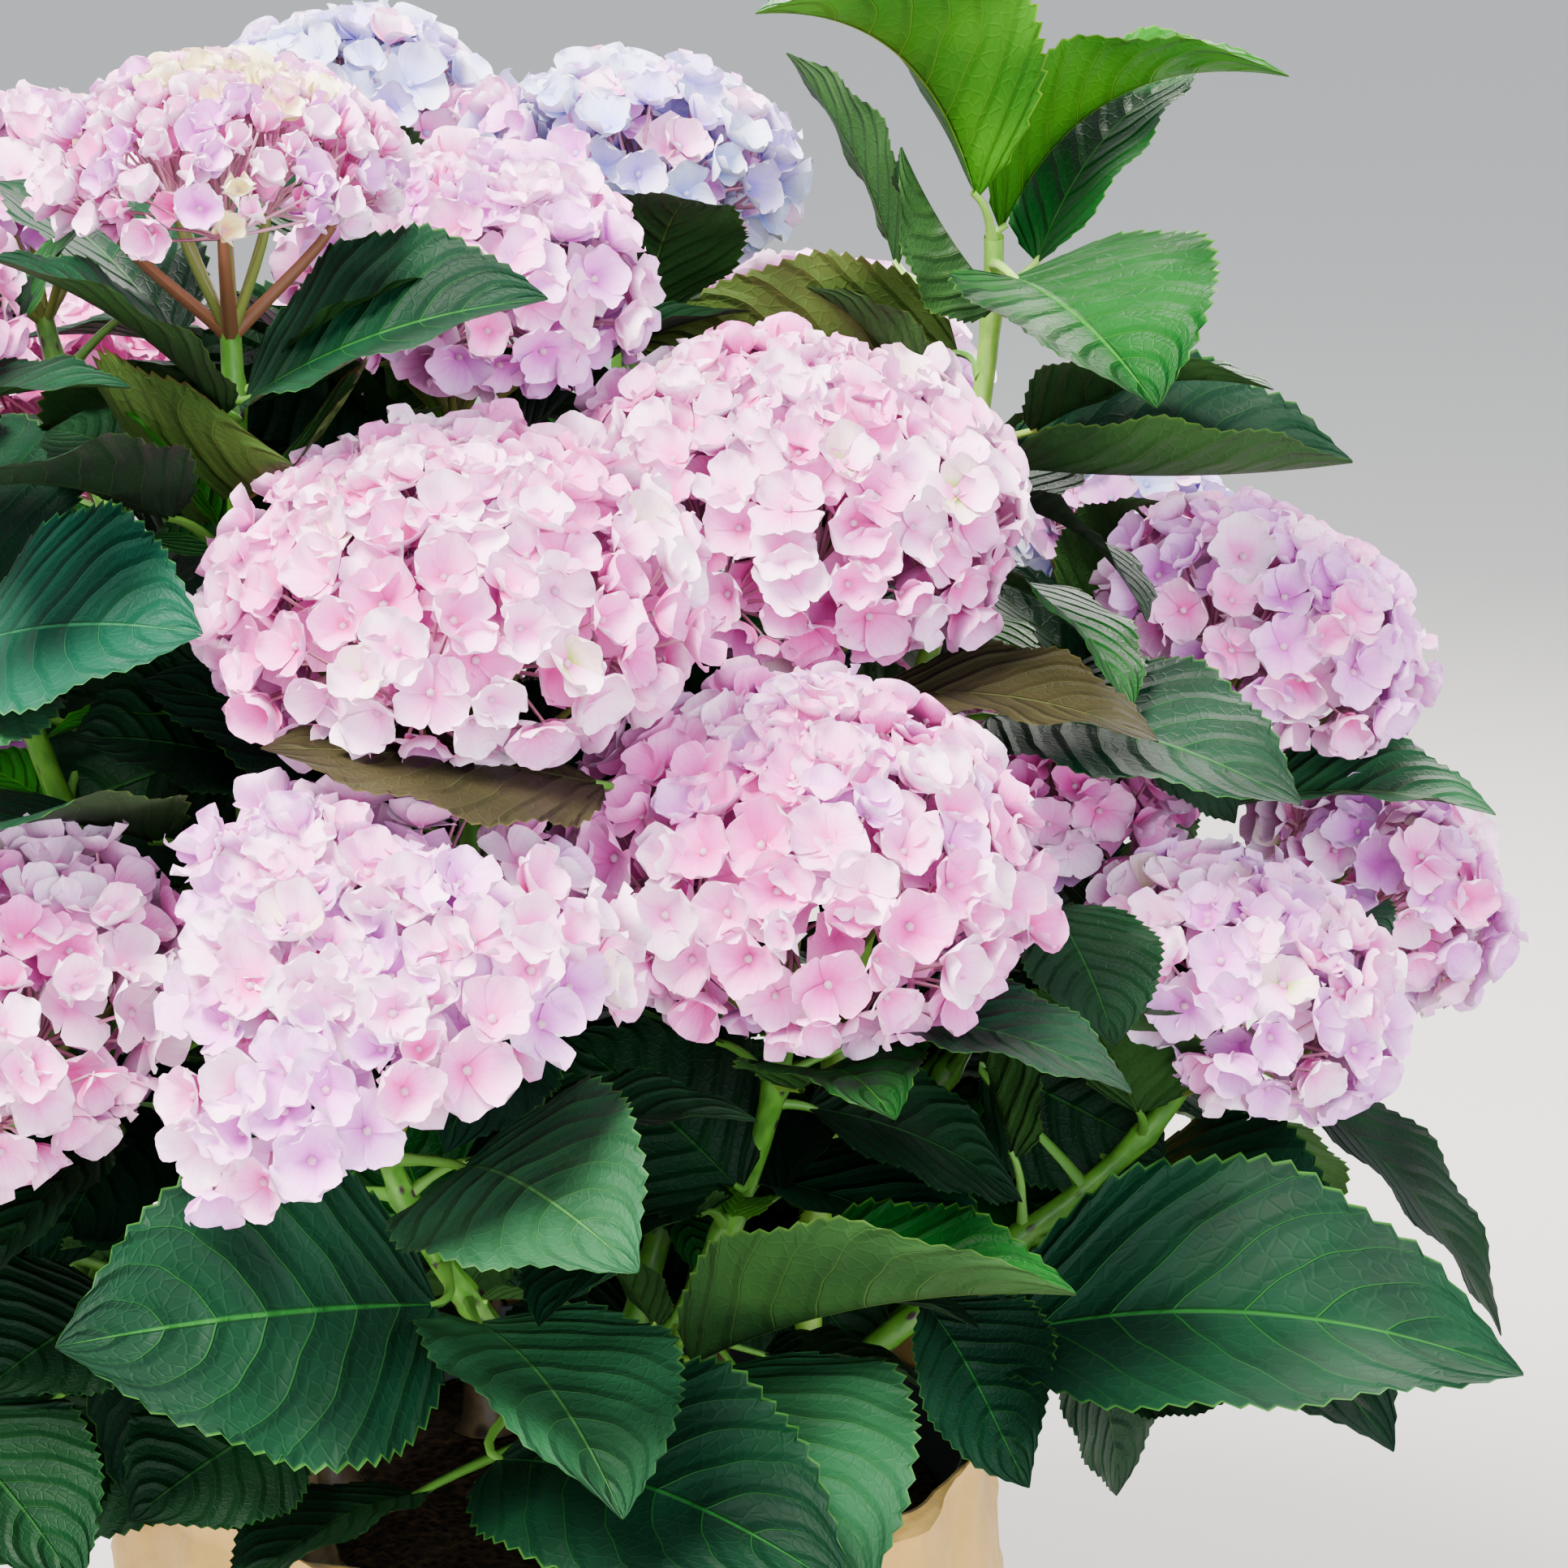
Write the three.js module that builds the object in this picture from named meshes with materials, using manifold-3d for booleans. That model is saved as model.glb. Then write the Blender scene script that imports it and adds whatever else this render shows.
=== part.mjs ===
import * as THREE from "three";
import Module from "manifold-3d";

// Sizes in millimetres. The origin is the middle of the pot's flat underside, and +Z is up.
// The side that the shrub shows to the viewer faces -Y.
const POT = { foot: 112, rim: 146, tall: 220, wall: 3, lip: 22, sides: 32 };
const SOIL_TOP = 195;
const GAP = 0.3;
const PAPER = { thick: 1.4, foot: 133, waist: 157, rim: 149.6, top: 226, sides: 40 };
const PAPER_CORNERS = [
  { turn: 20, out: 86, up: 92 },
  { turn: 112, out: 66, up: 84 },
  { turn: 158, out: 52, up: 60 },
];
const CANE = { foot: 8.5, top: 6.2, flare: 1.45, tall: 40, fork: 27 };
const STEM = { root: 4.6, top: 3.3, sides: 4 };
const HEAD = { rise: 0.31, fall: 0.25, stalk: 0.4, florets: 11 };
const LEAF = { thick: 0.022, spacing: 54, first: 22, pairs: 5, petiole: 1.7 };
const CROWN = { reach: 345, top: 722, low: 60 };

// Each cane: where it stands on the soil, as a turn about the pot's axis and a distance from it.
const CANES = [
  { turn: -76, out: 64 },
  { turn: -142, out: 102 },
  { turn: 168, out: 84 },
  { turn: 112, out: 80 },
  { turn: 52, out: 82 },
  { turn: -8, out: 84 },
];

// Each shoot: its cane, the middle of its flower head, the head's width, how far the head leans
// and the turn that it leans towards. The one with no width ends in a pair of young leaves.
const SHOOTS = [
  { cane: 0, at: [-22, -130, 538], wide: 157, lean: 14, turn: -100 },
  { cane: 0, at: [81, -2, 550], wide: 163, lean: 14, turn: -80 },
  { cane: 0, at: [86, -120, 454], wide: 156, lean: 20, turn: -75 },
  { cane: 0, at: [-46, -217, 431], wide: 165, lean: 36, turn: -98 },
  { cane: 1, at: [-197, -127, 421], wide: 142, lean: 30, turn: -130 },
  { cane: 1, at: [-96, -80, 664], wide: 117, lean: 6, turn: -100 },
  { cane: 1, at: [-206, -104, 620], wide: 104, lean: 22, turn: 200 },
  { cane: 2, at: [-304, -74, 505], wide: 132, lean: 42, turn: 195 },
  { cane: 2, at: [-202, -2, 466], wide: 98, lean: 26, turn: 190 },
  { cane: 2, at: [-188, 72, 646], wide: 102, lean: 14, turn: 160 },
  { cane: 2, at: [-305, 18, 400], wide: 126, lean: 46, turn: 176 },
  { cane: 2, at: [-288, 110, 552], wide: 134, lean: 34, turn: 160 },
  { cane: 3, at: [-28, 22, 624], wide: 126, lean: 10, turn: -60 },
  { cane: 3, at: [-82, 200, 668], wide: 112, lean: 12, turn: 100 },
  { cane: 3, at: [-196, 242, 548], wide: 138, lean: 32, turn: 130 },
  { cane: 3, at: [-52, 300, 482], wide: 146, lean: 40, turn: 100 },
  { cane: 4, at: [24, 142, 651], wide: 118, lean: 8, turn: 80 },
  { cane: 4, at: [92, 262, 560], wide: 136, lean: 26, turn: 72 },
  { cane: 4, at: [148, 296, 418], wide: 128, lean: 44, turn: 62 },
  { cane: 4, at: [210, 202, 511], wide: 100, lean: 30, turn: 40 },
  { cane: 4, at: [253, 98, 490], wide: 123, lean: 28, turn: 14 },
  { cane: 5, at: [238, -12, 387], wide: 114, lean: 30, turn: -24 },
  { cane: 5, at: [300, 122, 394], wide: 114, lean: 50, turn: 10 },
  { cane: 5, at: [174, 50, 441], wide: 92, lean: 14, turn: -60 },
  { cane: 5, at: [152, 46, 634], wide: 0, lean: 24, turn: -95 },
];

// The leaves that show plainly: shoot, blade's base, tip, width, roll about the midrib, arch of the
// midrib as a share of the length, lift of the left and the right half in degrees, and twist.
const LEAVES = [
  [24, [146, 34, 651], [71, -13, 714], 97, 6, 0.2, 32, 30, 0],
  [24, [150, 40, 648], [231, 8, 698], 92, -4, 0.19, 30, 34, 0],
  [24, [157, 12, 626], [201, -46, 589], 108, 22, 0.1, 4, 34, 0],
  [24, [153, 29, 615], [119, 12, 669], 66, 150, 0.04, 22, 22, 0],
  [24, [120, 76, 623], [81, 112, 696], 44, 60, 0.06, 14, 14, 0],
  [24, [147, 86, 591], [19, 80, 604], 100, -100, 0.08, 4, 6, 0],
  [24, [156, 40, 559], [275, 30, 561], 108, 30, -0.04, 14, 56, 0],
  [5, [-89, -92, 597], [8, -124, 632], 84, 36, 0.07, 12, 24, 0],
  [5, [-100, -100, 601], [-162, -134, 653], 70, -14, 0.07, 14, 14, 0],
  [6, [-186, -140, 596], [-116, -150, 608], 52, 6, 0.06, 10, 10, 0],
  [5, [-106, -40, 541], [-66, -122, 580], 132, 0, 0.02, 46, 46, 0],
  [6, [-173, -128, 525], [-94, -168, 536], 88, 38, 0.08, 10, 8, 0],
  [5, [-86, -98, 481], [-141, -126, 496], 74, -26, 0.06, 10, 10, 0],
  [0, [25, -158, 488], [-74, -196, 507], 78, -8, 0.03, 0, -10, 0],
  [3, [-23, -200, 384], [45, -284, 381], 84, 22, 0.1, 8, 6, 0],
  [3, [-26, -184, 331], [-129, -262, 345], 104, -52, 0.06, 6, 10, 0],
  [3, [-10, -160, 272], [100, -246, 262], 94, 22, 0.1, 12, 8, 0],
  [2, [50, -122, 291], [169, -186, 335], 90, 10, 0.06, 20, 60, 0],
  [5, [-184, -190, 300], [-130, -232, 258], 66, 10, 0.08, 8, 8, 0],
  [24, [126, -84, 298], [159, -128, 250], 60, -20, 0.05, 40, 24, 60],
  [21, [142, -82, 284], [317, -104, 281], 122, 22, 0.11, 18, 10, 0],
  [2, [104, -137, 410], [184, -174, 398], 54, 10, 0.09, 8, 8, 0],
  [24, [167, -80, 431], [186, -108, 392], 56, 0, 0.06, 10, 10, 0],
  [2, [66, -100, 341], [9, -84, 389], 76, -40, 0.05, 8, 8, 0],
  [2, [88, -92, 367], [159, -70, 328], 66, 24, 0.08, 8, 8, 0],
  [1, [106, -32, 490], [202, -62, 482], 74, 4, 0.08, 12, 4, 0],
  [20, [196, 30, 486], [237, 26, 435], 58, 36, 0.08, 8, 8, 0],
  [19, [275, 188, 433], [336, 178, 388], 58, 16, 0.08, 10, 10, 0],
  [22, [262, 62, 330], [340, 48, 240], 66, 8, 0.08, 10, 10, 0],
  [22, [180, 6, 263], [203, -4, 205], 72, 12, 0.08, 8, 8, 0],
  [2, [38, -76, 286], [14, -84, 322], 32, 20, 0.05, 10, 10, 0],
  [3, [-38, -122, 246], [-92, -176, 232], 64, 10, 0.08, 8, 8, 0],
  [4, [-128, -142, 371], [-164, -196, 338], 62, 16, 0.08, 8, 8, 0],
  [21, [193, -30, 254], [244, -44, 253], 56, 24, 0.06, 8, 8, 0],
  [4, [-80, -128, 274], [-125, -166, 254], 66, -30, 0.06, 8, 8, 0],
  [2, [31, -30, 271], [-23, -24, 245], 66, -36, 0.06, 8, 8, 0],
  [4, [-128, -150, 321], [-165, -190, 305], 64, -26, 0.06, 8, 8, 0],
  [10, [-148, -70, 244], [-198, -100, 236], 70, -26, 0.08, 8, 8, 0],
];

const wasm = await Module();
wasm.setup();

const v = (x, y, z) => new THREE.Vector3(x, y, z);
const UP = v(0, 0, 1);
const rad = THREE.MathUtils.degToRad;
const mix = (a, b, t) => a + (b - a) * t;

// A number from 0 to 1 that depends only on the whole numbers it is given.
function chance(...keys) {
  let h = 2166136261;
  for (const k of keys) {
    h = Math.imul(h ^ (k + 1013), 16777619);
    h ^= h >>> 13;
    h = Math.imul(h, 1540483477);
    h ^= h >>> 15;
  }
  return (h >>> 0) / 4294967296;
}

function leaning(turn, lean) {
  const s = Math.sin(rad(lean));
  return v(s * Math.cos(rad(turn)), s * Math.sin(rad(turn)), Math.cos(rad(lean)));
}

// Two directions square to the given one.
function sides(axis) {
  const a = v(0, 0, 1).cross(axis).lengthSq() > 1e-4 ? v(0, 0, 1).cross(axis).normalize() : v(1, 0, 0);
  return [a, axis.clone().cross(a).normalize()];
}

function body(points, faces) {
  const mesh = new wasm.Mesh({
    numProp: 3,
    vertProperties: new Float32Array(points.flatMap((p) => [p.x, p.y, p.z])),
    triVerts: new Uint32Array(faces.flat()),
  });
  return new wasm.Manifold(mesh);
}

// Closed tube through the path's points with a radius at each, its rings turned as little as can be.
function tube(path, radii, count) {
  const points = [];
  const faces = [];
  let side = null;
  path.forEach((p, i) => {
    const along = path[Math.min(i + 1, path.length - 1)].clone()
      .sub(path[Math.max(i - 1, 0)]).normalize();
    side = side ? side.clone().addScaledVector(along, -side.dot(along)).normalize() : sides(along)[0];
    const other = along.clone().cross(side);
    for (let k = 0; k < count; k++) {
      const a = (2 * Math.PI * k) / count;
      points.push(p.clone().addScaledVector(side, radii[i] * Math.cos(a))
        .addScaledVector(other, radii[i] * Math.sin(a)));
    }
  });
  for (let i = 0; i + 1 < path.length; i++) {
    for (let k = 0; k < count; k++) {
      const a = i * count + k;
      const b = i * count + ((k + 1) % count);
      faces.push([a, b, b + count], [a, b + count, a + count]);
    }
  }
  const last = (path.length - 1) * count;
  for (let k = 1; k + 1 < count; k++) {
    faces.push([0, k + 1, k], [last, last + k, last + k + 1]);
  }
  return body(points, faces);
}

// Solid of revolution about Z. A profile point on the axis becomes a single point.
function turned(profile, count) {
  const points = [];
  const rings = profile.map(([r, z]) => {
    const start = points.length;
    const n = r > 0 ? count : 1;
    for (let k = 0; k < n; k++) {
      const a = (2 * Math.PI * k) / count;
      points.push(v(r * Math.cos(a), r * Math.sin(a), z));
    }
    return { start, n };
  });
  const faces = [];
  for (let i = 0; i + 1 < rings.length; i++) {
    const [a, b] = [rings[i], rings[i + 1]];
    for (let k = 0; k < count; k++) {
      const a0 = a.start + (a.n > 1 ? k : 0);
      const a1 = a.start + (a.n > 1 ? (k + 1) % count : 0);
      const b0 = b.start + (b.n > 1 ? k : 0);
      const b1 = b.start + (b.n > 1 ? (k + 1) % count : 0);
      if (a.n > 1) faces.push([a0, a1, b1]);
      if (b.n > 1) faces.push([a0, b1, b0]);
    }
  }
  return body(points, faces);
}

// Everything placed so far, so that what comes next can keep clear of it.
const placed = [];
const nodes = new Map();

function place(node, solid, kind = node) {
  const box = solid.boundingBox();
  placed.push({ node, solid, box, kind });
  if (!nodes.has(node)) nodes.set(node, []);
  nodes.get(node).push(solid);
}

// True if the solid keeps GAP from what is placed. Of its own node's parts, only leaves count.
function isClear(solid, node) {
  const b = solid.boundingBox();
  const far = GAP + 0.1;
  return placed.every((p) => {
    if (p.node === node && p.kind !== "leaf") return true;
    for (let k = 0; k < 3; k++) {
      if (p.box.min[k] > b.max[k] + far || p.box.max[k] < b.min[k] - far) return true;
    }
    return p.solid.minGap(solid, far) >= GAP;
  });
}

// Pot: an open-topped plastic container with a thicker band at the rim.
function buildPot() {
  const { foot, rim, tall, wall, lip } = POT;
  const under = rim - 5;
  return turned([
    [0, 0], [foot - 3, 0], [foot, 4], [under, tall - lip], [rim, tall - lip + 2], [rim, tall],
    [rim - wall, tall], [under - wall, tall - lip - 2], [foot - wall + 0.5, 7], [0, 4],
  ], POT.sides);
}

// Soil: fills the pot to a little below the rim, with its top flat where the canes stand.
function buildSoil() {
  const { foot, rim, tall, wall, lip } = POT;
  const low = foot - wall + 0.5 - GAP * 2;
  const high = rim - 5 - wall - GAP * 2;
  const share = (SOIL_TOP - 7) / (tall - lip - 2 - 7);
  return turned([[0, 4.6], [low - 1, 7.6], [mix(low, high, share) - 0.4, SOIL_TOP], [0, SOIL_TOP]],
    POT.sides);
}

// Paper: a loose pleated sleeve round the pot, wavy at the top, with some corners standing out.
function buildPaper() {
  const { thick, foot, waist, rim, top, sides: count } = PAPER;
  const outer = (turn, z) => {
    const bulge = z < 160 ? mix(foot, waist, Math.pow(z / 160, 0.7)) : mix(waist, rim, (z - 160) / 60);
    const pleat = 1.8 * Math.sin(17 * turn + 1.3 * Math.sin(3 * turn)) + 1.2 * Math.sin(7 * turn + 2);
    return Math.max(bulge + pleat, z > 190 ? POT.rim + thick + 0.62 : 0);
  };
  const edge = (turn) => {
    let [up, out] = [4 * Math.sin(5 * turn + 1) + 3 * Math.sin(11 * turn), 3 + 3 * Math.sin(6 * turn)];
    for (const c of PAPER_CORNERS) {
      const off = Math.abs(Math.atan2(Math.sin(turn - rad(c.turn)), Math.cos(turn - rad(c.turn))));
      const share = Math.max(0, 1 - off / rad(34));
      up += c.up * share ** 1.3;
      out += c.out * share ** 1.5;
    }
    return { up, out };
  };
  const points = [];
  const levels = [0.8, 90, 165, top];
  const rows = [];
  const ring = (at) => {
    rows.push(points.length);
    for (let k = 0; k < count; k++) points.push(at((2 * Math.PI * k) / count));
  };
  const round = (r, turn, z) => v(r * Math.cos(turn), r * Math.sin(turn), z);
  const lip = (turn, share, inset) => {
    const { up, out } = edge(turn);
    const r = outer(turn, top) + 1 + out * share ** 1.4 - inset;
    return round(r, turn, top + up * share);
  };
  for (const z of levels) ring((turn) => round(outer(turn, z), turn, z));
  ring((turn) => lip(turn, 0.55, 0));
  ring((turn) => lip(turn, 1, 0));
  ring((turn) => lip(turn, 1, thick * 1.2));
  ring((turn) => lip(turn, 0.55, thick * 1.3));
  for (const z of [top, 90, levels[0]]) ring((turn) => round(outer(turn, z) - thick, turn, z));
  const faces = [];
  rows.forEach((start, i) => {
    const next = rows[(i + 1) % rows.length];
    for (let k = 0; k < count; k++) {
      const n = (k + 1) % count;
      faces.push([start + k, start + n, next + n], [start + k, next + n, next + k]);
    }
  });
  return body(points, faces);
}

// Where a shoot starts on its cane, which way it sets off, and where its stem meets the head.
const shoots = SHOOTS.map((s, index) => {
  const cane = CANES[s.cane];
  const foot = v(cane.out * Math.cos(rad(cane.turn)), cane.out * Math.sin(rad(cane.turn)), SOIL_TOP + GAP);
  const crown = foot.clone().multiplyScalar(1.06).setZ(SOIL_TOP + CANE.tall);
  const head = v(...s.at);
  const facing = leaning(s.turn, s.lean);
  const join = head.clone().addScaledVector(facing, s.wide ? -HEAD.stalk * s.wide : 0);
  const aim = join.clone().sub(crown);
  const away = v(aim.x, aim.y, 0).normalize();
  const set = away.multiplyScalar(Math.min(1.1, 0.2 + 70 / aim.z)).add(UP).normalize();
  return { ...s, index, foot, crown, head, facing, join, set };
});

// Forks of one cane spread so that no two set off closer than 30 degrees.
for (let round = 0; round < 60; round++) {
  for (const a of shoots) {
    for (const b of shoots) {
      if (a === b || a.cane !== b.cane) continue;
      const angle = a.set.angleTo(b.set);
      if (angle > rad(36)) continue;
      const push = a.set.clone().sub(b.set).normalize();
      a.set.addScaledVector(push, 0.03).normalize();
      b.set.addScaledVector(push, -0.03).normalize();
    }
  }
}

for (const s of shoots) {
  s.start = s.crown.clone().addScaledVector(s.set, CANE.fork + GAP);
  const span = s.join.distanceTo(s.start);
  const bend = [
    s.start,
    s.start.clone().addScaledVector(s.set, span * 0.36),
    s.join.clone().addScaledVector(s.facing, -span * 0.3),
    s.join,
  ];
  s.curve = new THREE.CubicBezierCurve3(...bend);
  s.long = s.curve.getLength();
  // The stem's corners: one at each pair of leaves, counted down from the top, and short straight
  // ends that keep its two end faces square to their neighbours.
  s.joints = [];
  for (let back = LEAF.first; back < s.long - 20; back += LEAF.spacing) {
    s.joints.push(s.curve.getPointAt(1 - back / s.long));
  }
  s.path = [s.start, s.start.clone().addScaledVector(s.set, 3), ...[...s.joints].reverse(),
    s.join.clone().addScaledVector(s.facing, -3), s.join];
}

// A cane: one limb tapering up from a flare at the soil to a knuckle, and a short fork to each shoot.
function buildCane(number) {
  const mine = shoots.filter((s) => s.cane === number);
  const { foot, crown } = mine[0];
  const up = [foot, foot.clone().setZ(foot.z + 5), foot.clone().lerp(crown, 0.5), crown];
  const radii = [CANE.foot * CANE.flare, CANE.foot * 1.1, mix(CANE.foot, CANE.top, 0.5), CANE.top];
  const knuckle = [-1, 0, 1].flatMap((step) => [...Array(7).keys()].map((k) => {
    const a = (2 * Math.PI * (k + step * 0.5)) / 7;
    const r = CANE.top * (step ? 0.9 : 1.25);
    return crown.clone().add(v(r * Math.cos(a), r * Math.sin(a), step * 5));
  }));
  const forks = mine.map((s) => tube(
    [4, CANE.fork].map((d) => crown.clone().addScaledVector(s.set, d)), [CANE.top * 0.7, STEM.root * 1.05], 5));
  return wasm.Manifold.union([
    tube(up, radii, 7), wasm.Manifold.hull(knuckle.map((p) => [p.x, p.y, p.z])), ...forks,
  ]);
}

function buildStem(s) {
  return tube(s.path, s.path.map((_, i) => mix(STEM.root, STEM.top, i / (s.path.length - 1))), STEM.sides);
}

// The head's reach in a direction given by its angle from the facing.
function headReach(wide, angle) {
  const across = wide / 2;
  const along = wide * (Math.cos(angle) > 0 ? HEAD.rise : HEAD.fall);
  return 1 / Math.hypot(Math.sin(angle) / across, Math.cos(angle) / along);
}

function headPoint(s, angle, turn, share) {
  const [a, b] = sides(s.facing);
  const r = headReach(s.wide, angle) * share;
  return s.head.clone().addScaledVector(s.facing, r * Math.cos(angle))
    .addScaledVector(a, r * Math.sin(angle) * Math.cos(turn))
    .addScaledVector(b, r * Math.sin(angle) * Math.sin(turn));
}

// A flower head: one body whose surface rises in four-petalled florets, with valleys between them,
// on a stalk. The points are joined up as they lie on a sphere and then moved to their own depths.
function buildHead(s) {
  const marks = [];
  const ball = (angle, turn) => v(Math.sin(angle) * Math.cos(turn), Math.sin(angle) * Math.sin(turn), Math.cos(angle));
  const n = HEAD.florets;
  const middles = [...Array(n).keys()].map((k) =>
    ball(Math.acos(mix(0.97, -0.5, (k + 0.3) / n)), k * 2.39996 + s.index));
  middles.forEach((m, k) => {
    marks.push({ at: m, depth: 0.9 });
    const [a, b] = sides(m);
    for (let i = 0; i < 4; i++) {
      const spin = chance(s.index, k, 3) * 1.57 + i * 1.5708;
      const tip = m.clone().addScaledVector(a, 0.34 * Math.cos(spin)).addScaledVector(b, 0.34 * Math.sin(spin));
      marks.push({ at: tip.normalize(), depth: mix(0.97, 1.05, chance(s.index, k, i + 5)) });
    }
  });
  for (let k = 0; k < 60; k++) {
    const at = ball(Math.acos(mix(1, -0.72, k / 59)), k * 2.39996 + 2);
    if (marks.every((m) => m.at.angleTo(at) > 0.24)) marks.push({ at, depth: 0.74 });
  }
  for (let k = 0; k < 6; k++) marks.push({ at: ball(2.55, k * 1.0472 + s.index), depth: 0.72 });
  marks.push({ at: v(0, 0, -1), depth: 0.7 });
  const joined = wasm.Manifold.hull(marks.map((m) => [m.at.x, m.at.y, m.at.z])).getMesh();
  const points = [];
  for (let i = 0; i < joined.numVert; i++) {
    const at = v(...joined.vertProperties.slice(i * joined.numProp, i * joined.numProp + 3));
    const mark = marks.reduce((best, m) => (m.at.distanceTo(at) < best.at.distanceTo(at) ? m : best));
    const angle = Math.acos(THREE.MathUtils.clamp(at.z, -1, 1));
    points.push(headPoint(s, angle, Math.atan2(at.y, at.x), mark.depth));
  }
  const faces = [];
  for (let i = 0; i < joined.triVerts.length; i += 3) faces.push([...joined.triVerts.slice(i, i + 3)]);
  const start = s.join.clone().addScaledVector(s.facing, GAP);
  const stalk = tube([start, s.head.clone().addScaledVector(s.facing, -0.05 * s.wide)],
    [STEM.top, STEM.top * 2], 5);
  return wasm.Manifold.union([body(points, faces), stalk]);
}

// Half the blade's width, as a share of its full width, at a share of its length.
const halfWidth = (t) => 0.5 * Math.sin(Math.PI * t ** 0.78) ** 0.8;

function leafFrame(base, tip, roll) {
  const along = tip.clone().sub(base);
  const long = along.length();
  along.normalize();
  const across = along.clone().cross(UP).normalize().applyAxisAngle(along, rad(roll));
  return { base, along, long, across };
}

function leafPoint(leaf, t, side) {
  const { base, along, long, across, wide, arch, lifts, twist } = leaf;
  const turned = across.clone().applyAxisAngle(along, rad(twist) * t);
  const normal = turned.clone().cross(along).normalize();
  const lift = rad(side < 0 ? lifts[0] : lifts[1]);
  const half = wide * halfWidth(t) * side;
  return base.clone().addScaledVector(along, long * t)
    .addScaledVector(normal, arch * long * 4 * t * (1 - t) + Math.abs(half) * Math.sin(lift))
    .addScaledVector(turned, half * Math.cos(lift));
}

const STATIONS = [0.24, 0.64];

// A leaf with its petiole, as one body: a three-sided stalk that opens into the blade, whose two
// faces meet at the margin and are a midrib's depth apart in the middle.
function buildLeaf(leaf, from) {
  const { base, along, long, across } = leaf;
  const down = across.clone().cross(along).normalize().multiplyScalar(-1);
  const stalk = LEAF.petiole;
  const out = base.clone().sub(from).normalize();
  const start = from.clone().addScaledVector(out, 1.4);
  const ring = (p, r, side, under) => [
    p.clone().addScaledVector(side, -r), p.clone().addScaledVector(side, r),
    p.clone().addScaledVector(under, r * 1.5),
  ];
  const level = across.clone().addScaledVector(out, -across.dot(out)).normalize();
  const points = [...ring(start, stalk * 1.2, level, out.clone().cross(level)), ...ring(base, stalk, across, down)];
  for (const t of STATIONS) {
    const middle = leafPoint(leaf, t, 0);
    const side = across.clone().applyAxisAngle(along, rad(leaf.twist) * t);
    const under = middle.clone().addScaledVector(side.cross(along).normalize(), -LEAF.thick * long);
    points.push(leafPoint(leaf, t, -1), middle, leafPoint(leaf, t, 1), under);
  }
  points.push(leafPoint(leaf, 1, 0));
  const faces = [[1, 0, 2], [0, 1, 4], [0, 4, 3], [0, 3, 5], [0, 5, 2], [5, 4, 1], [5, 1, 2]];
  faces.push([3, 4, 7], [3, 7, 6], [4, 8, 7], [3, 6, 9], [3, 9, 5], [5, 9, 4], [4, 9, 8]);
  const last = STATIONS.length - 1;
  for (let i = 0; i < last; i++) {
    const [l, m, r, u] = [6, 7, 8, 9].map((k) => k + i * 4);
    faces.push([l, m, m + 4], [l, m + 4, l + 4], [m, r, r + 4], [m, r + 4, m + 4]);
    faces.push([l + 4, u + 4, u], [l + 4, u, l], [u + 4, r + 4, r], [u + 4, r, u]);
  }
  const [l, m, r, u] = [6, 7, 8, 9].map((k) => k + last * 4);
  const tip = points.length - 1;
  faces.push([l, m, tip], [m, r, tip], [tip, u, l], [tip, r, u]);
  return body(points, faces);
}

function withinCrown(leaf) {
  const tip = leafPoint(leaf, 1, 0);
  const low = Math.min(tip.z, leafPoint(leaf, 0.5, 1).z, leafPoint(leaf, 0.5, -1).z);
  return Math.hypot(tip.x, tip.y) < CROWN.reach && tip.z < CROWN.top && low > CROWN.low;
}

// A leaf is kept if it is within the crown's reach and clear of everything but its own stem.
function tryLeaf(s, leaf, from) {
  if (!withinCrown(leaf)) return false;
  const solid = buildLeaf(leaf, from);
  if (!isClear(solid, s.node)) return false;
  place(s.node, solid, "leaf");
  return true;
}

// The point of the stem where a petiole to that point leaves it: near, and rather below than above.
function nearestOnStem(s, point) {
  let best = null;
  for (let i = 1; i + 2 < s.path.length; i++) {
    for (let k = 0; k <= 8; k++) {
      const p = s.path[i].clone().lerp(s.path[i + 1], k / 8);
      const d = p.distanceTo(point) + Math.max(0, p.z - point.z) * 0.7;
      if (!best || d < best.d) best = { p, d };
    }
  }
  return best.p;
}

// A plainly seen leaf as measured, or else the nearest small change of it that is clear.
function placeShown(row, number) {
  const [shoot, base, tip, wide, roll, arch, left, right, twist] = row;
  const s = shoots[shoot];
  for (let step = 0; step < 30; step++) {
    const shift = (k) => (chance(900 + number, step, k) - 0.5) * step * 1.7;
    const root = v(...base).add(v(shift(1), shift(2), shift(3)));
    const end = v(...tip).add(v(shift(4), shift(5), shift(6)));
    const frame = leafFrame(root, end, roll + shift(7));
    const size = wide * (1 - step * 0.008);
    const leaf = { ...frame, wide: size, arch, lifts: [left, right], twist };
    if (tryLeaf(s, leaf, nearestOnStem(s, root))) return true;
  }
  return false;
}

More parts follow.
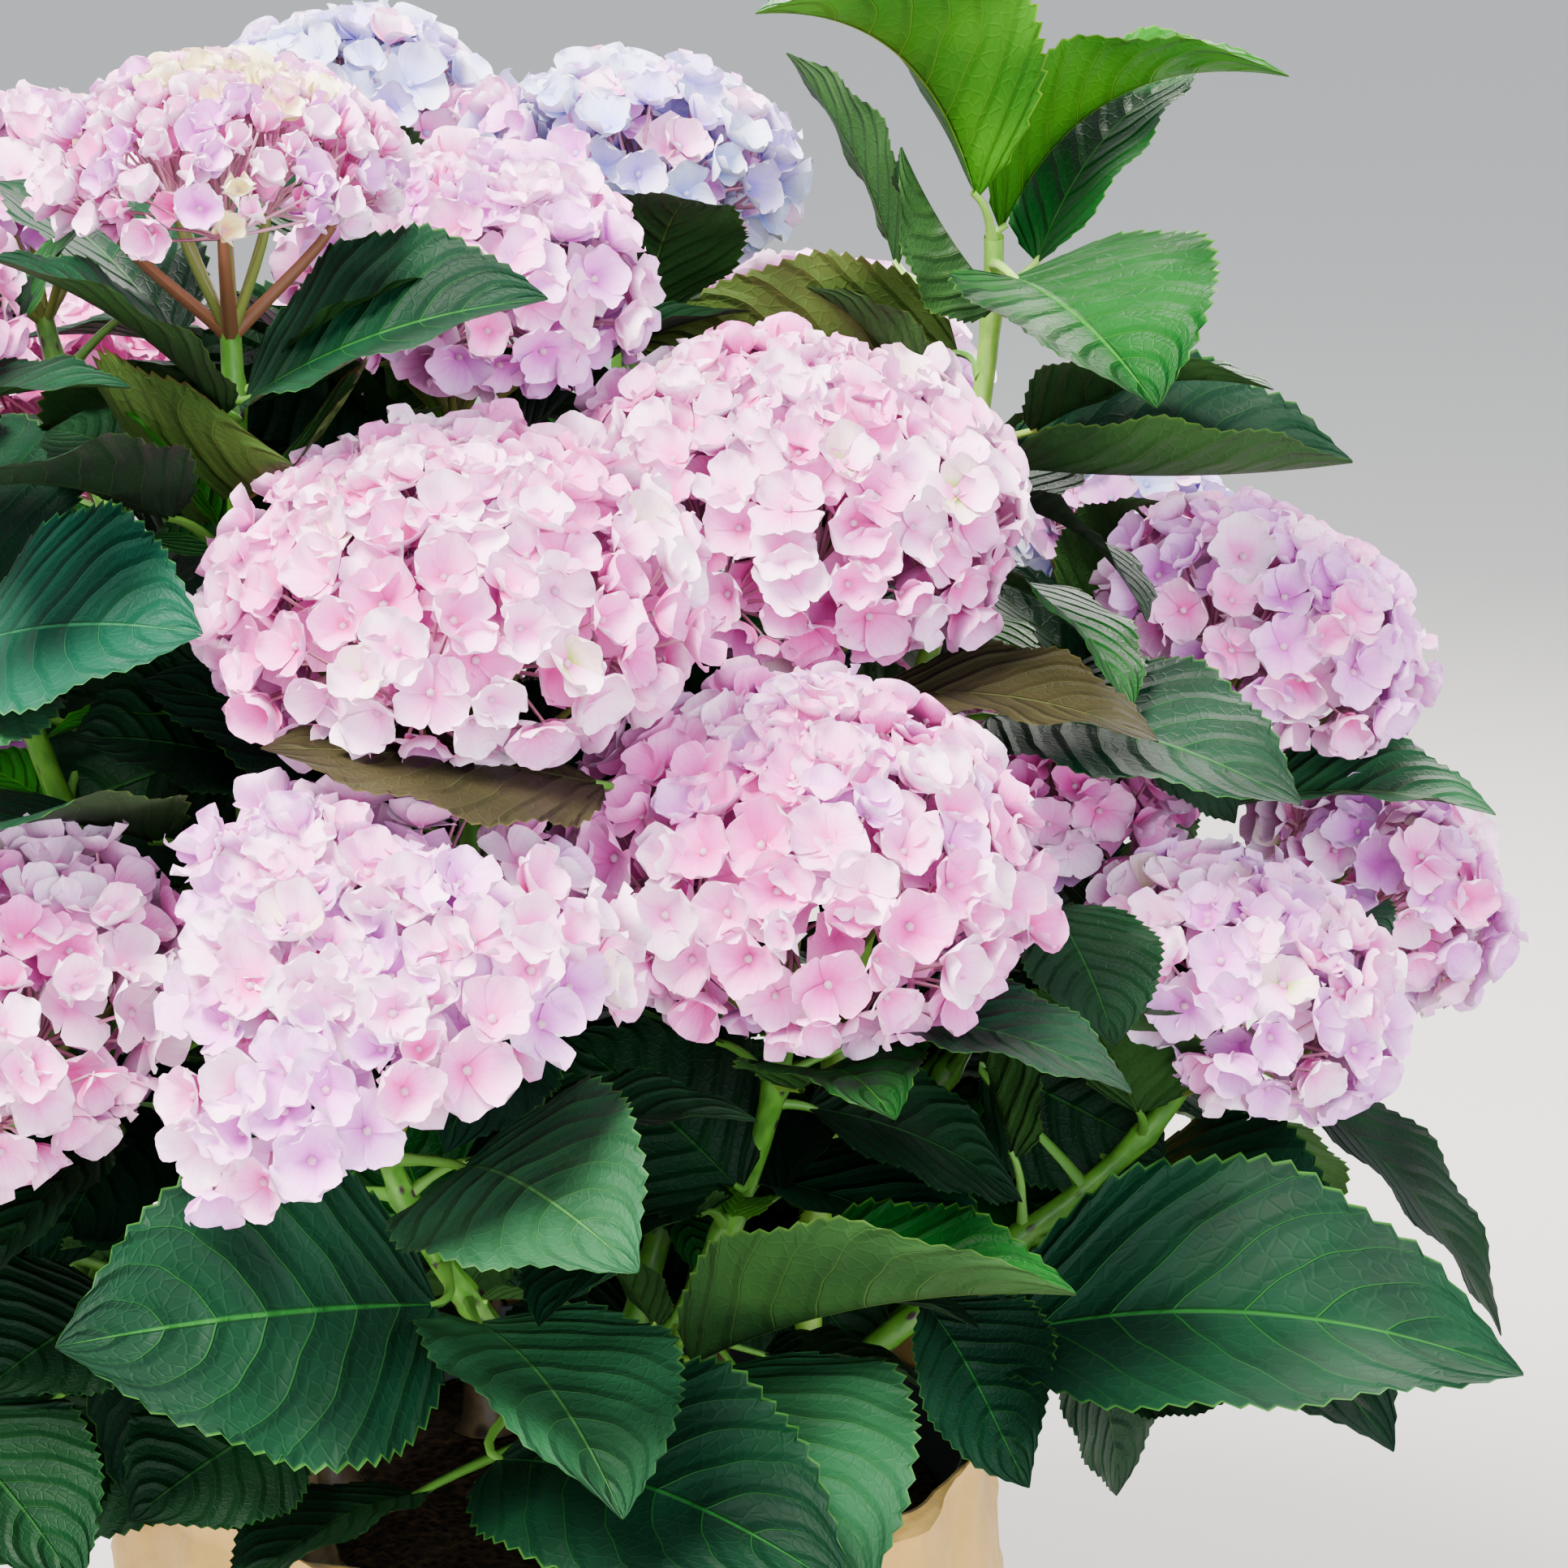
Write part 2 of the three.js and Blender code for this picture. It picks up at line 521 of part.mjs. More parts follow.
// The other leaves: opposite pairs up the stem, each pair a quarter turn on from the one above,
// the lower ones longer and hanging more. Each takes the first of its seeded tries that is clear.
function placePairs(s) {
  let count = 0;
  const levels = Math.min(LEAF.pairs, s.joints.length);
  for (let level = 0; level < levels; level++) {
    const from = s.joints[level];
    const along = (s.joints[level - 1] ?? s.join).clone().sub(from).normalize();
    for (const pair of [0, 1]) {
      for (let step = 0; step < 26; step++) {
        const pick = (k) => chance(s.index, level * 2 + pair, step, k);
        const spread = Math.min(1, step / 10);
        const turn = s.index * 1.1 + level * 1.5708 + pair * 3.1416 + (pick(1) - 0.5) * (0.5 + 1.5 * spread);
        const out = v(Math.cos(turn), Math.sin(turn), 0);
        out.addScaledVector(along, -out.dot(along)).normalize();
        const pitch = mix(26, -22, Math.min(1, level / 4)) + (pick(2) - 0.5) * (16 + 50 * spread);
        const heading = out.clone().multiplyScalar(Math.cos(rad(pitch))).addScaledVector(UP, Math.sin(rad(pitch))).normalize();
        const long = mix(104, 142, Math.min(1, level / 2.5)) * mix(0.86, 1.08, pick(3)) * (1 - step * 0.014);
        const stalk = long * mix(0.2, 0.32, pick(4));
        const base = from.clone().addScaledVector(out, stalk * 0.86).addScaledVector(along, stalk * 0.5);
        const frame = leafFrame(base, base.clone().addScaledVector(heading, long), (pick(5) - 0.5) * (24 + 40 * spread));
        const leaf = {
          ...frame,
          wide: long * mix(0.6, 0.74, pick(6)),
          arch: mix(0.06, 0.14, pick(7)),
          lifts: [mix(4, 18, pick(8)), mix(4, 18, pick(9))],
          twist: 0,
        };
        if (tryLeaf(s, leaf, from)) {
          count += 1;
          break;
        }
      }
    }
  }
  return count;
}

const two = (n) => String(n + 1).padStart(2, "0");
place("pot", buildPot());
place("potting_soil", buildSoil());
place("paper_wrap", buildPaper());
CANES.forEach((_, i) => place(`cane_${i + 1}`, buildCane(i)));
for (const s of shoots) {
  s.node = `shoot_${two(s.index)}`;
  s.headNode = `bloom_${two(s.index)}`;
  place(s.node, buildStem(s));
}
for (const s of shoots.filter((x) => x.wide)) place(s.headNode, buildHead(s));
LEAVES.forEach((row, i) => placeShown(row, i));
for (const s of shoots) placePairs(s);

const COLOURS = {
  pot: 0x3a3f42, potting_soil: 0x3b2c22, paper_wrap: 0xc79a5b, cane: 0x6d5a3c, shoot: 0x2c6136, bloom: 0xf0b9d0,
};
const group = new THREE.Group();
for (const [name, solids] of nodes) {
  const solid = solids.length > 1 || name.startsWith("cane")
    ? wasm.Manifold.union(solids).simplify(0.12) : solids[0];
  const { vertProperties, triVerts } = solid.getMesh();
  const geometry = new THREE.BufferGeometry();
  geometry.setAttribute("position", new THREE.BufferAttribute(new Float32Array(vertProperties), 3));
  geometry.setIndex(new THREE.BufferAttribute(new Uint32Array(triVerts), 1));
  const colour = COLOURS[name] ?? COLOURS[name.split("_")[0]];
  const material = new THREE.MeshStandardMaterial({ color: colour, roughness: 0.7 });
  material.name = name;
  const mesh = new THREE.Mesh(geometry, material);
  mesh.name = name;
  group.add(mesh);
}

export default group;
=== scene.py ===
import math
import time
from functools import partial
import bpy
import numpy as np
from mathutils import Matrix, Quaternion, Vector, kdtree, noise
from mathutils.bvhtree import BVHTree


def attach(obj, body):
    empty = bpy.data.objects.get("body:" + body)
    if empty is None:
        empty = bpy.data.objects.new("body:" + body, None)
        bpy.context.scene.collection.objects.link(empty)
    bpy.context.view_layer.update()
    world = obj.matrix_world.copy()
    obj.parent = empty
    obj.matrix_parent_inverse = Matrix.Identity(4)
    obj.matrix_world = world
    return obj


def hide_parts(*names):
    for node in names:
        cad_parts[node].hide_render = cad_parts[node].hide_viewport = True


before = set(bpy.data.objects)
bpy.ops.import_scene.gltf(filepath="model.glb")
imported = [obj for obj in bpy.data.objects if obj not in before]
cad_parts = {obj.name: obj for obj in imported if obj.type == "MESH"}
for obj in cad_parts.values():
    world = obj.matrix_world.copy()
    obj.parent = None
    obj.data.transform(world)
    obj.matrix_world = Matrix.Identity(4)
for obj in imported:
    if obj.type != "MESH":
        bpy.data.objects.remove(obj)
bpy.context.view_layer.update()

started = time.time()
mm = 0.001


def say(words):
    print(f"[{time.time() - started:5.1f} s] {words}", flush=True)


# camera, floor and light
studio = {
    "eye": (0.080, -1.4405, 0.7607), "pitch": 12.0, "lens": 99.1,
    "floor": "#bdbbb7", "air": "#dfe6ee", "airStrength": 1.45,
    "key": {"at": (-1.0, -1.2, 2.7), "aim": (0.0, -0.05, 0.42), "size": 1.5, "watts": 460, "tint": "#fff8ef"},
    "fill": {"at": (1.44, -3.68, 1.52), "aim": (0.0, 0.0, 0.4), "size": 3.5, "watts": 218, "tint": "#eef3ff"},
    "back": {"at": (0.7, 1.7, 1.9), "aim": (0.0, 0.1, 0.5), "size": 1.2, "watts": 130, "tint": "#fffaf2"},
}


def linear(hexColour):
    parts = [int(hexColour[i:i + 2], 16) / 255 for i in (1, 3, 5)]
    return [p / 12.92 if p <= 0.04045 else ((p + 0.055) / 1.055) ** 2.4 for p in parts] + [1.0]


# settings that many nodes share
easing, colours = {"interpolation_type": "SMOOTHSTEP"}, {"data_type": "RGBA"}


# Sets or links a node's inputs. Another node among them stands for the first of its outputs in use.
def plug(node, values):
    for key, value in values.items():
        if isinstance(value, bpy.types.Node):
            value = next(output for output in value.outputs if output.enabled)
        if isinstance(value, bpy.types.NodeSocket):
            node.id_data.links.new(value, node.inputs[key])
        else:
            node.inputs[key].default_value = value


def addNode(tree, kind, values=None, **settings):
    node = tree.nodes.new("ShaderNode" + kind)
    for key, value in settings.items():
        setattr(node, key, value)
    plug(node, values or {})
    return node


def placeCamera():
    bpy.ops.object.camera_add(location=studio["eye"], rotation=(math.radians(90 - studio["pitch"]), 0, 0))
    camera = bpy.context.object
    camera.data.lens = studio["lens"]
    camera.data.sensor_width = 36
    camera.data.clip_end = 200
    bpy.context.scene.camera = camera


def placeLight(name, spec):
    bpy.ops.object.light_add(type="AREA", location=spec["at"])
    lamp = bpy.context.object
    lamp.name = name
    lamp.data.shape = "DISK"
    lamp.data.size = spec["size"]
    lamp.data.energy = spec["watts"]
    lamp.data.color = linear(spec["tint"])[:3]
    aim = Vector(spec["aim"]) - Vector(spec["at"])
    lamp.rotation_euler = aim.to_track_quat("-Z", "Y").to_euler()


def placeFloor():
    bpy.ops.mesh.primitive_plane_add(size=90, location=(0, 0, -0.0004))
    floor = bpy.context.object
    floor.name = "studio_floor"
    paint = bpy.data.materials.new("matte floor paint")
    paint.use_nodes = True
    plug(paint.node_tree.nodes["Principled BSDF"], {"Base Color": linear(studio["floor"]), "Roughness": 0.85})
    floor.data.materials.append(paint)


placeCamera()
for lampName in ("key", "fill", "back"):
    placeLight(lampName, studio[lampName])
placeFloor()
air = bpy.data.worlds.new("soft air")
air.use_nodes = True
plug(air.node_tree.nodes["Background"], {0: linear(studio["air"]), 1: studio["airStrength"]})
bpy.context.scene.world = air
say("studio ready")

# how the shrub grows, in millimetres
pot = {"foot": 112, "rim": 146, "tall": 220, "wall": 3, "lip": 22}
soilTop, gap = 195, 0.3
cane = {"tall": 40, "fork": 27}
head = {"rise": 0.31, "fall": 0.25, "stalk": 0.4}
leafRule = {"spacing": 54, "first": 22, "pairs": 5}
canes = [(-76, 64), (-142, 102), (168, 84), (112, 80), (52, 82), (-8, 84)]  # turn, distance out

# cane, middle of the head, its width, how far it leans, the turn it leans towards, its kind
shootRows = [
    (0, (-22, -130, 538), 157, 14, -100, "pink"), (0, (81, -2, 550), 163, 14, -80, "pink"),
    (0, (86, -120, 454), 156, 20, -75, "rose"), (0, (-46, -217, 431), 165, 36, -98, "orchid"),
    (1, (-197, -127, 421), 142, 30, -130, "blush"), (1, (-96, -80, 664), 117, 6, -100, "young"),
    (1, (-206, -104, 620), 104, 22, 200, "rose"), (2, (-304, -74, 505), 132, 42, 195, "pink"),
    (2, (-202, -2, 466), 98, 26, 190, "rose"), (2, (-188, 72, 646), 102, 14, 160, "orchid"),
    (2, (-305, 18, 400), 126, 46, 176, "pink"), (2, (-288, 110, 552), 134, 34, 160, "orchid"),
    (3, (-28, 22, 624), 126, 10, -60, "orchid"), (3, (-82, 200, 668), 112, 12, 100, "sky"),
    (3, (-196, 242, 548), 138, 32, 130, "pink"), (3, (-52, 300, 482), 146, 40, 100, "pink"),
    (4, (24, 142, 651), 118, 8, 80, "lilac"), (4, (92, 262, 560), 136, 26, 72, "orchid"),
    (4, (148, 296, 418), 128, 44, 62, "pink"), (4, (210, 202, 511), 100, 30, 40, "lilac"),
    (4, (253, 98, 490), 123, 28, 14, "orchid"), (5, (238, -12, 387), 114, 30, -24, "orchid"),
    (5, (300, 122, 394), 114, 50, 10, "orchid"), (5, (174, 50, 441), 92, 14, -60, "rose"),
    (5, (152, 46, 634), 0, 24, -95, "leafy"),
]

# leaves with the dark look lie low in the crown or under others, and their darker green is painted shade
# shoot, blade's base, tip, width, roll, arch, lift left and right, twist, and the look of the leaf
leafRows = [
    (24, (146, 34, 651), (71, -13, 714), 97, 6, 0.2, 32, 30, 0, "fresh"),
    (24, (150, 40, 648), (231, 8, 698), 92, -4, 0.19, 30, 34, 0, "fresh"),
    (24, (157, 12, 626), (201, -46, 589), 108, 22, 0.1, 4, 34, 0, "mid"),
    (24, (153, 29, 615), (119, 12, 669), 66, 150, 0.04, 22, 22, 0, "mid"),
    (24, (120, 76, 623), (81, 112, 696), 44, 60, 0.06, 14, 14, 0, "mid"),
    (24, (147, 86, 591), (19, 80, 604), 100, -100, 0.08, 4, 6, 0, "khaki"),
    (24, (156, 40, 559), (275, 30, 561), 108, 30, -0.04, 14, 56, 0, "deep"),
    (5, (-89, -92, 597), (8, -124, 632), 84, 36, 0.07, 12, 24, 0, "deep"),
    (5, (-100, -100, 601), (-162, -134, 653), 70, -14, 0.07, 14, 14, 0, "deep"),
    (6, (-186, -140, 596), (-116, -150, 608), 52, 6, 0.06, 10, 10, 0, "deep"),
    (5, (-106, -40, 541), (-66, -122, 580), 132, 0, 0.02, 46, 46, 0, "crisp"),
    (6, (-173, -128, 525), (-94, -168, 536), 88, 38, 0.08, 10, 8, 0, "cool"),
    (5, (-86, -98, 481), (-141, -126, 496), 74, -26, 0.06, 10, 10, 0, "dark"),
    (0, (25, -158, 488), (-74, -196, 507), 92, -14, 0.03, 0, -10, 0, "olive"),
    (3, (-23, -200, 384), (45, -284, 381), 84, 22, 0.1, 8, 6, 0, "dull"),
    (3, (-26, -184, 331), (-129, -262, 345), 104, -52, 0.06, 6, 10, 0, "deep"),
    (3, (-10, -160, 272), (100, -246, 262), 94, 22, 0.1, 12, 8, 0, "deep"),
    (2, (50, -122, 291), (169, -186, 335), 90, 10, 0.06, 20, 60, 0, "mid"),
    (5, (-184, -190, 300), (-130, -232, 258), 66, 10, 0.08, 8, 8, 0, "dark"),
    (24, (126, -84, 298), (159, -128, 250), 60, -20, 0.05, 40, 24, 60, "deep"),
    (21, (142, -82, 284), (317, -104, 281), 122, 22, 0.11, 18, 10, 0, "deep"),
    (2, (104, -137, 410), (184, -174, 398), 54, 10, 0.09, 8, 8, 0, "deep"),
    (24, (167, -80, 431), (186, -108, 392), 56, 0, 0.06, 10, 10, 0, "dark"),
    (2, (66, -100, 341), (9, -84, 389), 76, -40, 0.05, 8, 8, 0, "dark"),
    (2, (88, -92, 367), (159, -70, 328), 66, 24, 0.08, 8, 8, 0, "dark"),
    (1, (106, -32, 490), (202, -62, 482), 74, 4, 0.08, 12, 4, 0, "olive"),
    (20, (196, 30, 486), (237, 26, 435), 58, 36, 0.08, 8, 8, 0, "dark"),
    (19, (275, 188, 433), (336, 178, 388), 58, 16, 0.08, 10, 10, 0, "dark"),
    (22, (262, 62, 330), (340, 48, 240), 66, 8, 0.08, 10, 10, 0, "dark"),
    (22, (180, 6, 263), (203, -4, 205), 72, 12, 0.08, 8, 8, 0, "dark"),
    (2, (38, -76, 286), (14, -84, 322), 32, 20, 0.05, 10, 10, 0, "mid"),
    (3, (-38, -122, 246), (-92, -176, 232), 64, 10, 0.08, 8, 8, 0, "dark"),
    (4, (-128, -142, 371), (-164, -196, 338), 62, 16, 0.08, 8, 8, 0, "dark"),
    (21, (193, -30, 254), (244, -44, 253), 56, 24, 0.06, 8, 8, 0, "dark"),
    (4, (-80, -128, 274), (-125, -166, 254), 66, -30, 0.06, 8, 8, 0, "dark"),
    (2, (31, -30, 271), (-23, -24, 245), 66, -36, 0.06, 8, 8, 0, "dark"),
    (4, (-128, -150, 321), (-165, -190, 305), 64, -26, 0.06, 8, 8, 0, "dark"),
    (10, (-148, -70, 244), (-198, -100, 236), 70, -26, 0.08, 8, 8, 0, "dark"),
]

up = Vector((0, 0, 1))
rad = math.radians


def mix(a, b, t):
    return a + (b - a) * t


def chance(*keys):
    h = 2166136261
    for k in keys:
        h = ((h ^ (k + 1013)) * 16777619) & 0xFFFFFFFF
        h ^= h >> 13
        h = (h * 1540483477) & 0xFFFFFFFF
        h ^= h >> 15
    return h / 4294967296


def leaning(turn, lean):
    s = math.sin(rad(lean))
    return Vector((s * math.cos(rad(turn)), s * math.sin(rad(turn)), math.cos(rad(lean))))


def sidesOf(axis):
    a = up.cross(axis)
    a = a.normalized() if a.length_squared > 1e-4 else Vector((1, 0, 0))
    return a, axis.cross(a).normalized()


def bezier(bend, t):
    s = 1 - t
    return bend[0] * s ** 3 + bend[1] * (3 * s * s * t) + bend[2] * (3 * s * t * t) + bend[3] * t ** 3


def measured(bend):
    marks = [0.0]
    last = bend[0]
    for i in range(1, 201):
        p = bezier(bend, i / 200)
        marks.append(marks[-1] + (p - last).length)
        last = p
    return marks


def pointAt(s, share):
    marks = s["marks"]
    target = share * marks[-1]
    i = min(199, max(0, int(np.searchsorted(marks, target, side="right")) - 1))
    return bezier(s["bend"], (i + (target - marks[i]) / (marks[i + 1] - marks[i])) / 200)


def growShoots():
    grown = []
    for index, (number, at, wide, lean, turn, kind) in enumerate(shootRows):
        caneTurn, out = canes[number]
        foot = Vector((out * math.cos(rad(caneTurn)), out * math.sin(rad(caneTurn)), soilTop + gap))
        crown = Vector((foot.x * 1.06, foot.y * 1.06, soilTop + cane["tall"]))
        facing = leaning(turn, lean)
        join = Vector(at) - facing * (head["stalk"] * wide)
        aim = join - crown
        away = Vector((aim.x, aim.y, 0)).normalized()
        setOff = (away * min(1.1, 0.2 + 70 / aim.z) + up).normalized()
        grown.append({"cane": number, "head": Vector(at), "wide": wide, "kind": kind, "index": index,
                      "age": "young" if kind == "young" else "open",
                      "foot": foot, "crown": crown, "facing": facing, "join": join, "set": setOff,
                      "node": f"shoot_{index + 1:02d}", "headNode": f"bloom_{index + 1:02d}"})
    for _ in range(60):  # forks of one cane spread until no two set off too close together
        for a in grown:
            for b in grown:
                if a is b or a["cane"] != b["cane"] or a["set"].angle(b["set"]) > rad(36):
                    continue
                push = (a["set"] - b["set"]).normalized()
                a["set"] = (a["set"] + push * 0.03).normalized()
                b["set"] = (b["set"] - push * 0.03).normalized()
    for s in grown:
        start, join = s["crown"] + s["set"] * (cane["fork"] + gap), s["join"]
        span = (join - start).length
        s["bend"] = [start, start + s["set"] * span * 0.36, join - s["facing"] * span * 0.3, join]
        s["marks"] = measured(s["bend"])
        s["long"] = s["marks"][-1]
        s["joints"] = []
        back = leafRule["first"]
        while back < s["long"] - 20:
            s["joints"].append(pointAt(s, 1 - back / s["long"]))
            back += leafRule["spacing"]
        s["path"] = [start, start + s["set"] * 3, *s["joints"][::-1], join - s["facing"] * 3, join]
    return grown


def headReach(wide, angle):
    along = wide * (head["rise"] if math.cos(angle) > 0 else head["fall"])
    return 1 / math.hypot(math.sin(angle) / (wide / 2), math.cos(angle) / along)


def halfWidth(t):
    return 0.5 * np.sin(np.pi * np.clip(t, 0, 1) ** 0.78) ** 0.8


def leafFrame(base, tip, roll):
    along = tip - base
    long = along.length
    along = along.normalized()
    across = along.cross(up).normalized()
    across.rotate(Quaternion(along, rad(roll)))
    return {"base": base, "along": along, "long": long, "across": across}


def leafPoint(leaf, t, side):
    turned = leaf["across"].copy()
    turned.rotate(Quaternion(leaf["along"], rad(leaf["twist"]) * t))
    normal = turned.cross(leaf["along"]).normalized()
    lift = rad(leaf["lifts"][0 if side < 0 else 1])
    half = leaf["wide"] * float(halfWidth(t)) * side
    return (leaf["base"] + leaf["along"] * leaf["long"] * t
            + normal * (leaf["arch"] * leaf["long"] * 4 * t * (1 - t) + abs(half) * math.sin(lift))
            + turned * half * math.cos(lift))


def nearestOnStem(s, point):
    best, least = None, 1e9
    for i in range(1, len(s["path"]) - 2):
        for k in range(9):
            p = s["path"][i].lerp(s["path"][i + 1], k / 8)
            d = (p - point).length + max(0, p.z - point.z) * 0.7
            if d < least:
                best, least = p, d
    return best


# The solid of each shoot holds the leaves that had room, so a try counts if its corners are there.
def corners(node):
    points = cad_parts[node].data.vertices
    tree = kdtree.KDTree(len(points))
    for i, p in enumerate(points):
        tree.insert(p.co / mm, i)
    tree.balance()
    return tree


def missBy(tree, leaf):
    gaps = sorted(tree.find(leafPoint(leaf, t, side))[2] for t, side in
                  ((1, 0), (0.24, -1), (0.24, 1), (0.64, -1), (0.64, 1)))
    return gaps[3]


def shownLeaf(number, row, step):
    shift = lambda k: (chance(900 + number, step, k) - 0.5) * step * 1.7
    root = Vector(row[1]) + Vector((shift(1), shift(2), shift(3)))
    end = Vector(row[2]) + Vector((shift(4), shift(5), shift(6)))
    leaf = leafFrame(root, end, row[4] + shift(7))
    leaf.update(wide=row[3] * (1 - step * 0.008), arch=row[5], lifts=(row[6], row[7]), twist=row[8])
    return leaf


def pairLeaf(s, level, pair, step, size=1.0):
    pick = lambda k: chance(s["index"], level * 2 + pair, step, k)
    spread = min(1, step / 10)
    start = s["joints"][level]
    along = ((s["joints"][level - 1] if level else s["join"]) - start).normalized()
    turn = s["index"] * 1.1 + level * 1.5708 + pair * 3.1416 + (pick(1) - 0.5) * (0.5 + 1.5 * spread)
    out = Vector((math.cos(turn), math.sin(turn), 0))
    out = (out - along * out.dot(along)).normalized()
    pitch = rad(mix(26, -22, min(1, level / 4)) + (pick(2) - 0.5) * (16 + 50 * spread))
    heading = (out * math.cos(pitch) + up * math.sin(pitch)).normalized()
    long = mix(104, 142, min(1, level / 2.5)) * mix(0.86, 1.08, pick(3)) * (1 - step * 0.014) * size
    stalk = long * mix(0.2, 0.32, pick(4))
    base = start + out * stalk * 0.86 + along * stalk * 0.5
    leaf = leafFrame(base, base + heading * long, (pick(5) - 0.5) * (24 + 40 * spread))
    leaf.update(wide=long * mix(0.6, 0.74, pick(6)), arch=mix(0.06, 0.14, pick(7)),
                lifts=(mix(4, 18, pick(8)), mix(4, 18, pick(9))), twist=0)
    return leaf


shoots = growShoots()
leaves = []
sameLeaf = 0.3  # a leaf is one of the solids' when its corners are nearer to theirs than this
leansOnHead = (13,)  # this one lies between two heads, among their florets
# leaves that lie under others are painted darker as shade, and those of the leafy shoot's tip younger
pairLooks = {(5, 1): "dark", (24, 0): "mid", (24, 1): "mid", (24, 2): "mid", (24, 3): "deep", (24, 4): "deep"}
# dark leaves in the depth, where the picture shows shade: shoot, base, tip, width, roll
shadeRows = [
    (12, (-56, 22, 596), (-128, 10, 572), 74, -66), (12, (-60, 24, 574), (-112, -6, 530), 70, -60),
    (4, (-82, -52, 484), (-172, -66, 452), 84, -62), (8, (-118, -36, 268), (-182, -66, 208), 74, -58),
    (8, (-128, -20, 300), (-196, -40, 262), 80, -62), (2, (70, -6, 322), (12, 12, 272), 66, -64),
    (2, (64, 4, 300), (112, -4, 246), 62, 64), (21, (150, 20, 350), (214, 12, 318), 66, 62),
]


def findLeaves():
    trees = {s["node"]: corners(s["node"]) for s in shoots}
    for number, row in enumerate(leafRows):
        s = shoots[row[0]]
        tries = [(missBy(trees[s["node"]], shownLeaf(number, row, step)), step) for step in range(30)]
        miss, step = min(tries)
        isThere = miss < sameLeaf
        if isThere or number in leansOnHead:
            leaf = shownLeaf(number, row, step if isThere else 0)
            leaf.update(shoot=s["index"], start=nearestOnStem(s, leaf["base"]), look=row[9], row=number,
                        level=0)
            leaves.append(leaf)
    for number, base, tip, wide, roll in shadeRows:
        s = shoots[number]
        leaf = leafFrame(Vector(base), Vector(tip), roll)
        leaf.update(wide=wide, arch=0.08, lifts=(8, 8), twist=0, shoot=number, look="dark", row=None, level=0,
                    start=nearestOnStem(s, leaf["base"]))
        leaves.append(leaf)
    bare = []
    for s in shoots:
        for level in range(min(leafRule["pairs"], len(s["joints"]))):
            for pair in (0, 1):
                tries = [(missBy(trees[s["node"]], pairLeaf(s, level, pair, step)), step)
                         for step in range(26)]
                miss, step = min(tries)
                if miss > sameLeaf:
                    bare.append((s, level, pair))
                    continue
                leaf = pairLeaf(s, level, pair, step)
                tone = chance(s["index"], level, pair, 77)
                look = "deep" if tone < 0.46 else "dark" if tone < 0.72 else "mid" if tone < 0.88 else "dull"
                look = pairLooks.get((s["index"], level), look)
                leaf.update(shoot=s["index"], start=s["joints"][level].copy(), look=look, row=None,
                            level=level)
                leaves.append(leaf)
    return bare


bareSites = findLeaves()
say(f"{len(leaves)} leaves found in the solids, {len(bareSites)} sites left bare")


# how many dark leaves are tried and kept in the depth, how long they are and the space they keep to,
# then the space of all small leaves and how far they stay from solids, heads and one another
fillRule = {
    "tries": 4000, "most": 130, "long": (50, 88), "within": 235, "front": -140, "deepRoom": 4.5,
    "reach": 339, "low": 70, "high": 700, "ownRoom": 0.8, "room": 3.0, "fromHead": 0.27, "fromLeaf": 0.42,
}


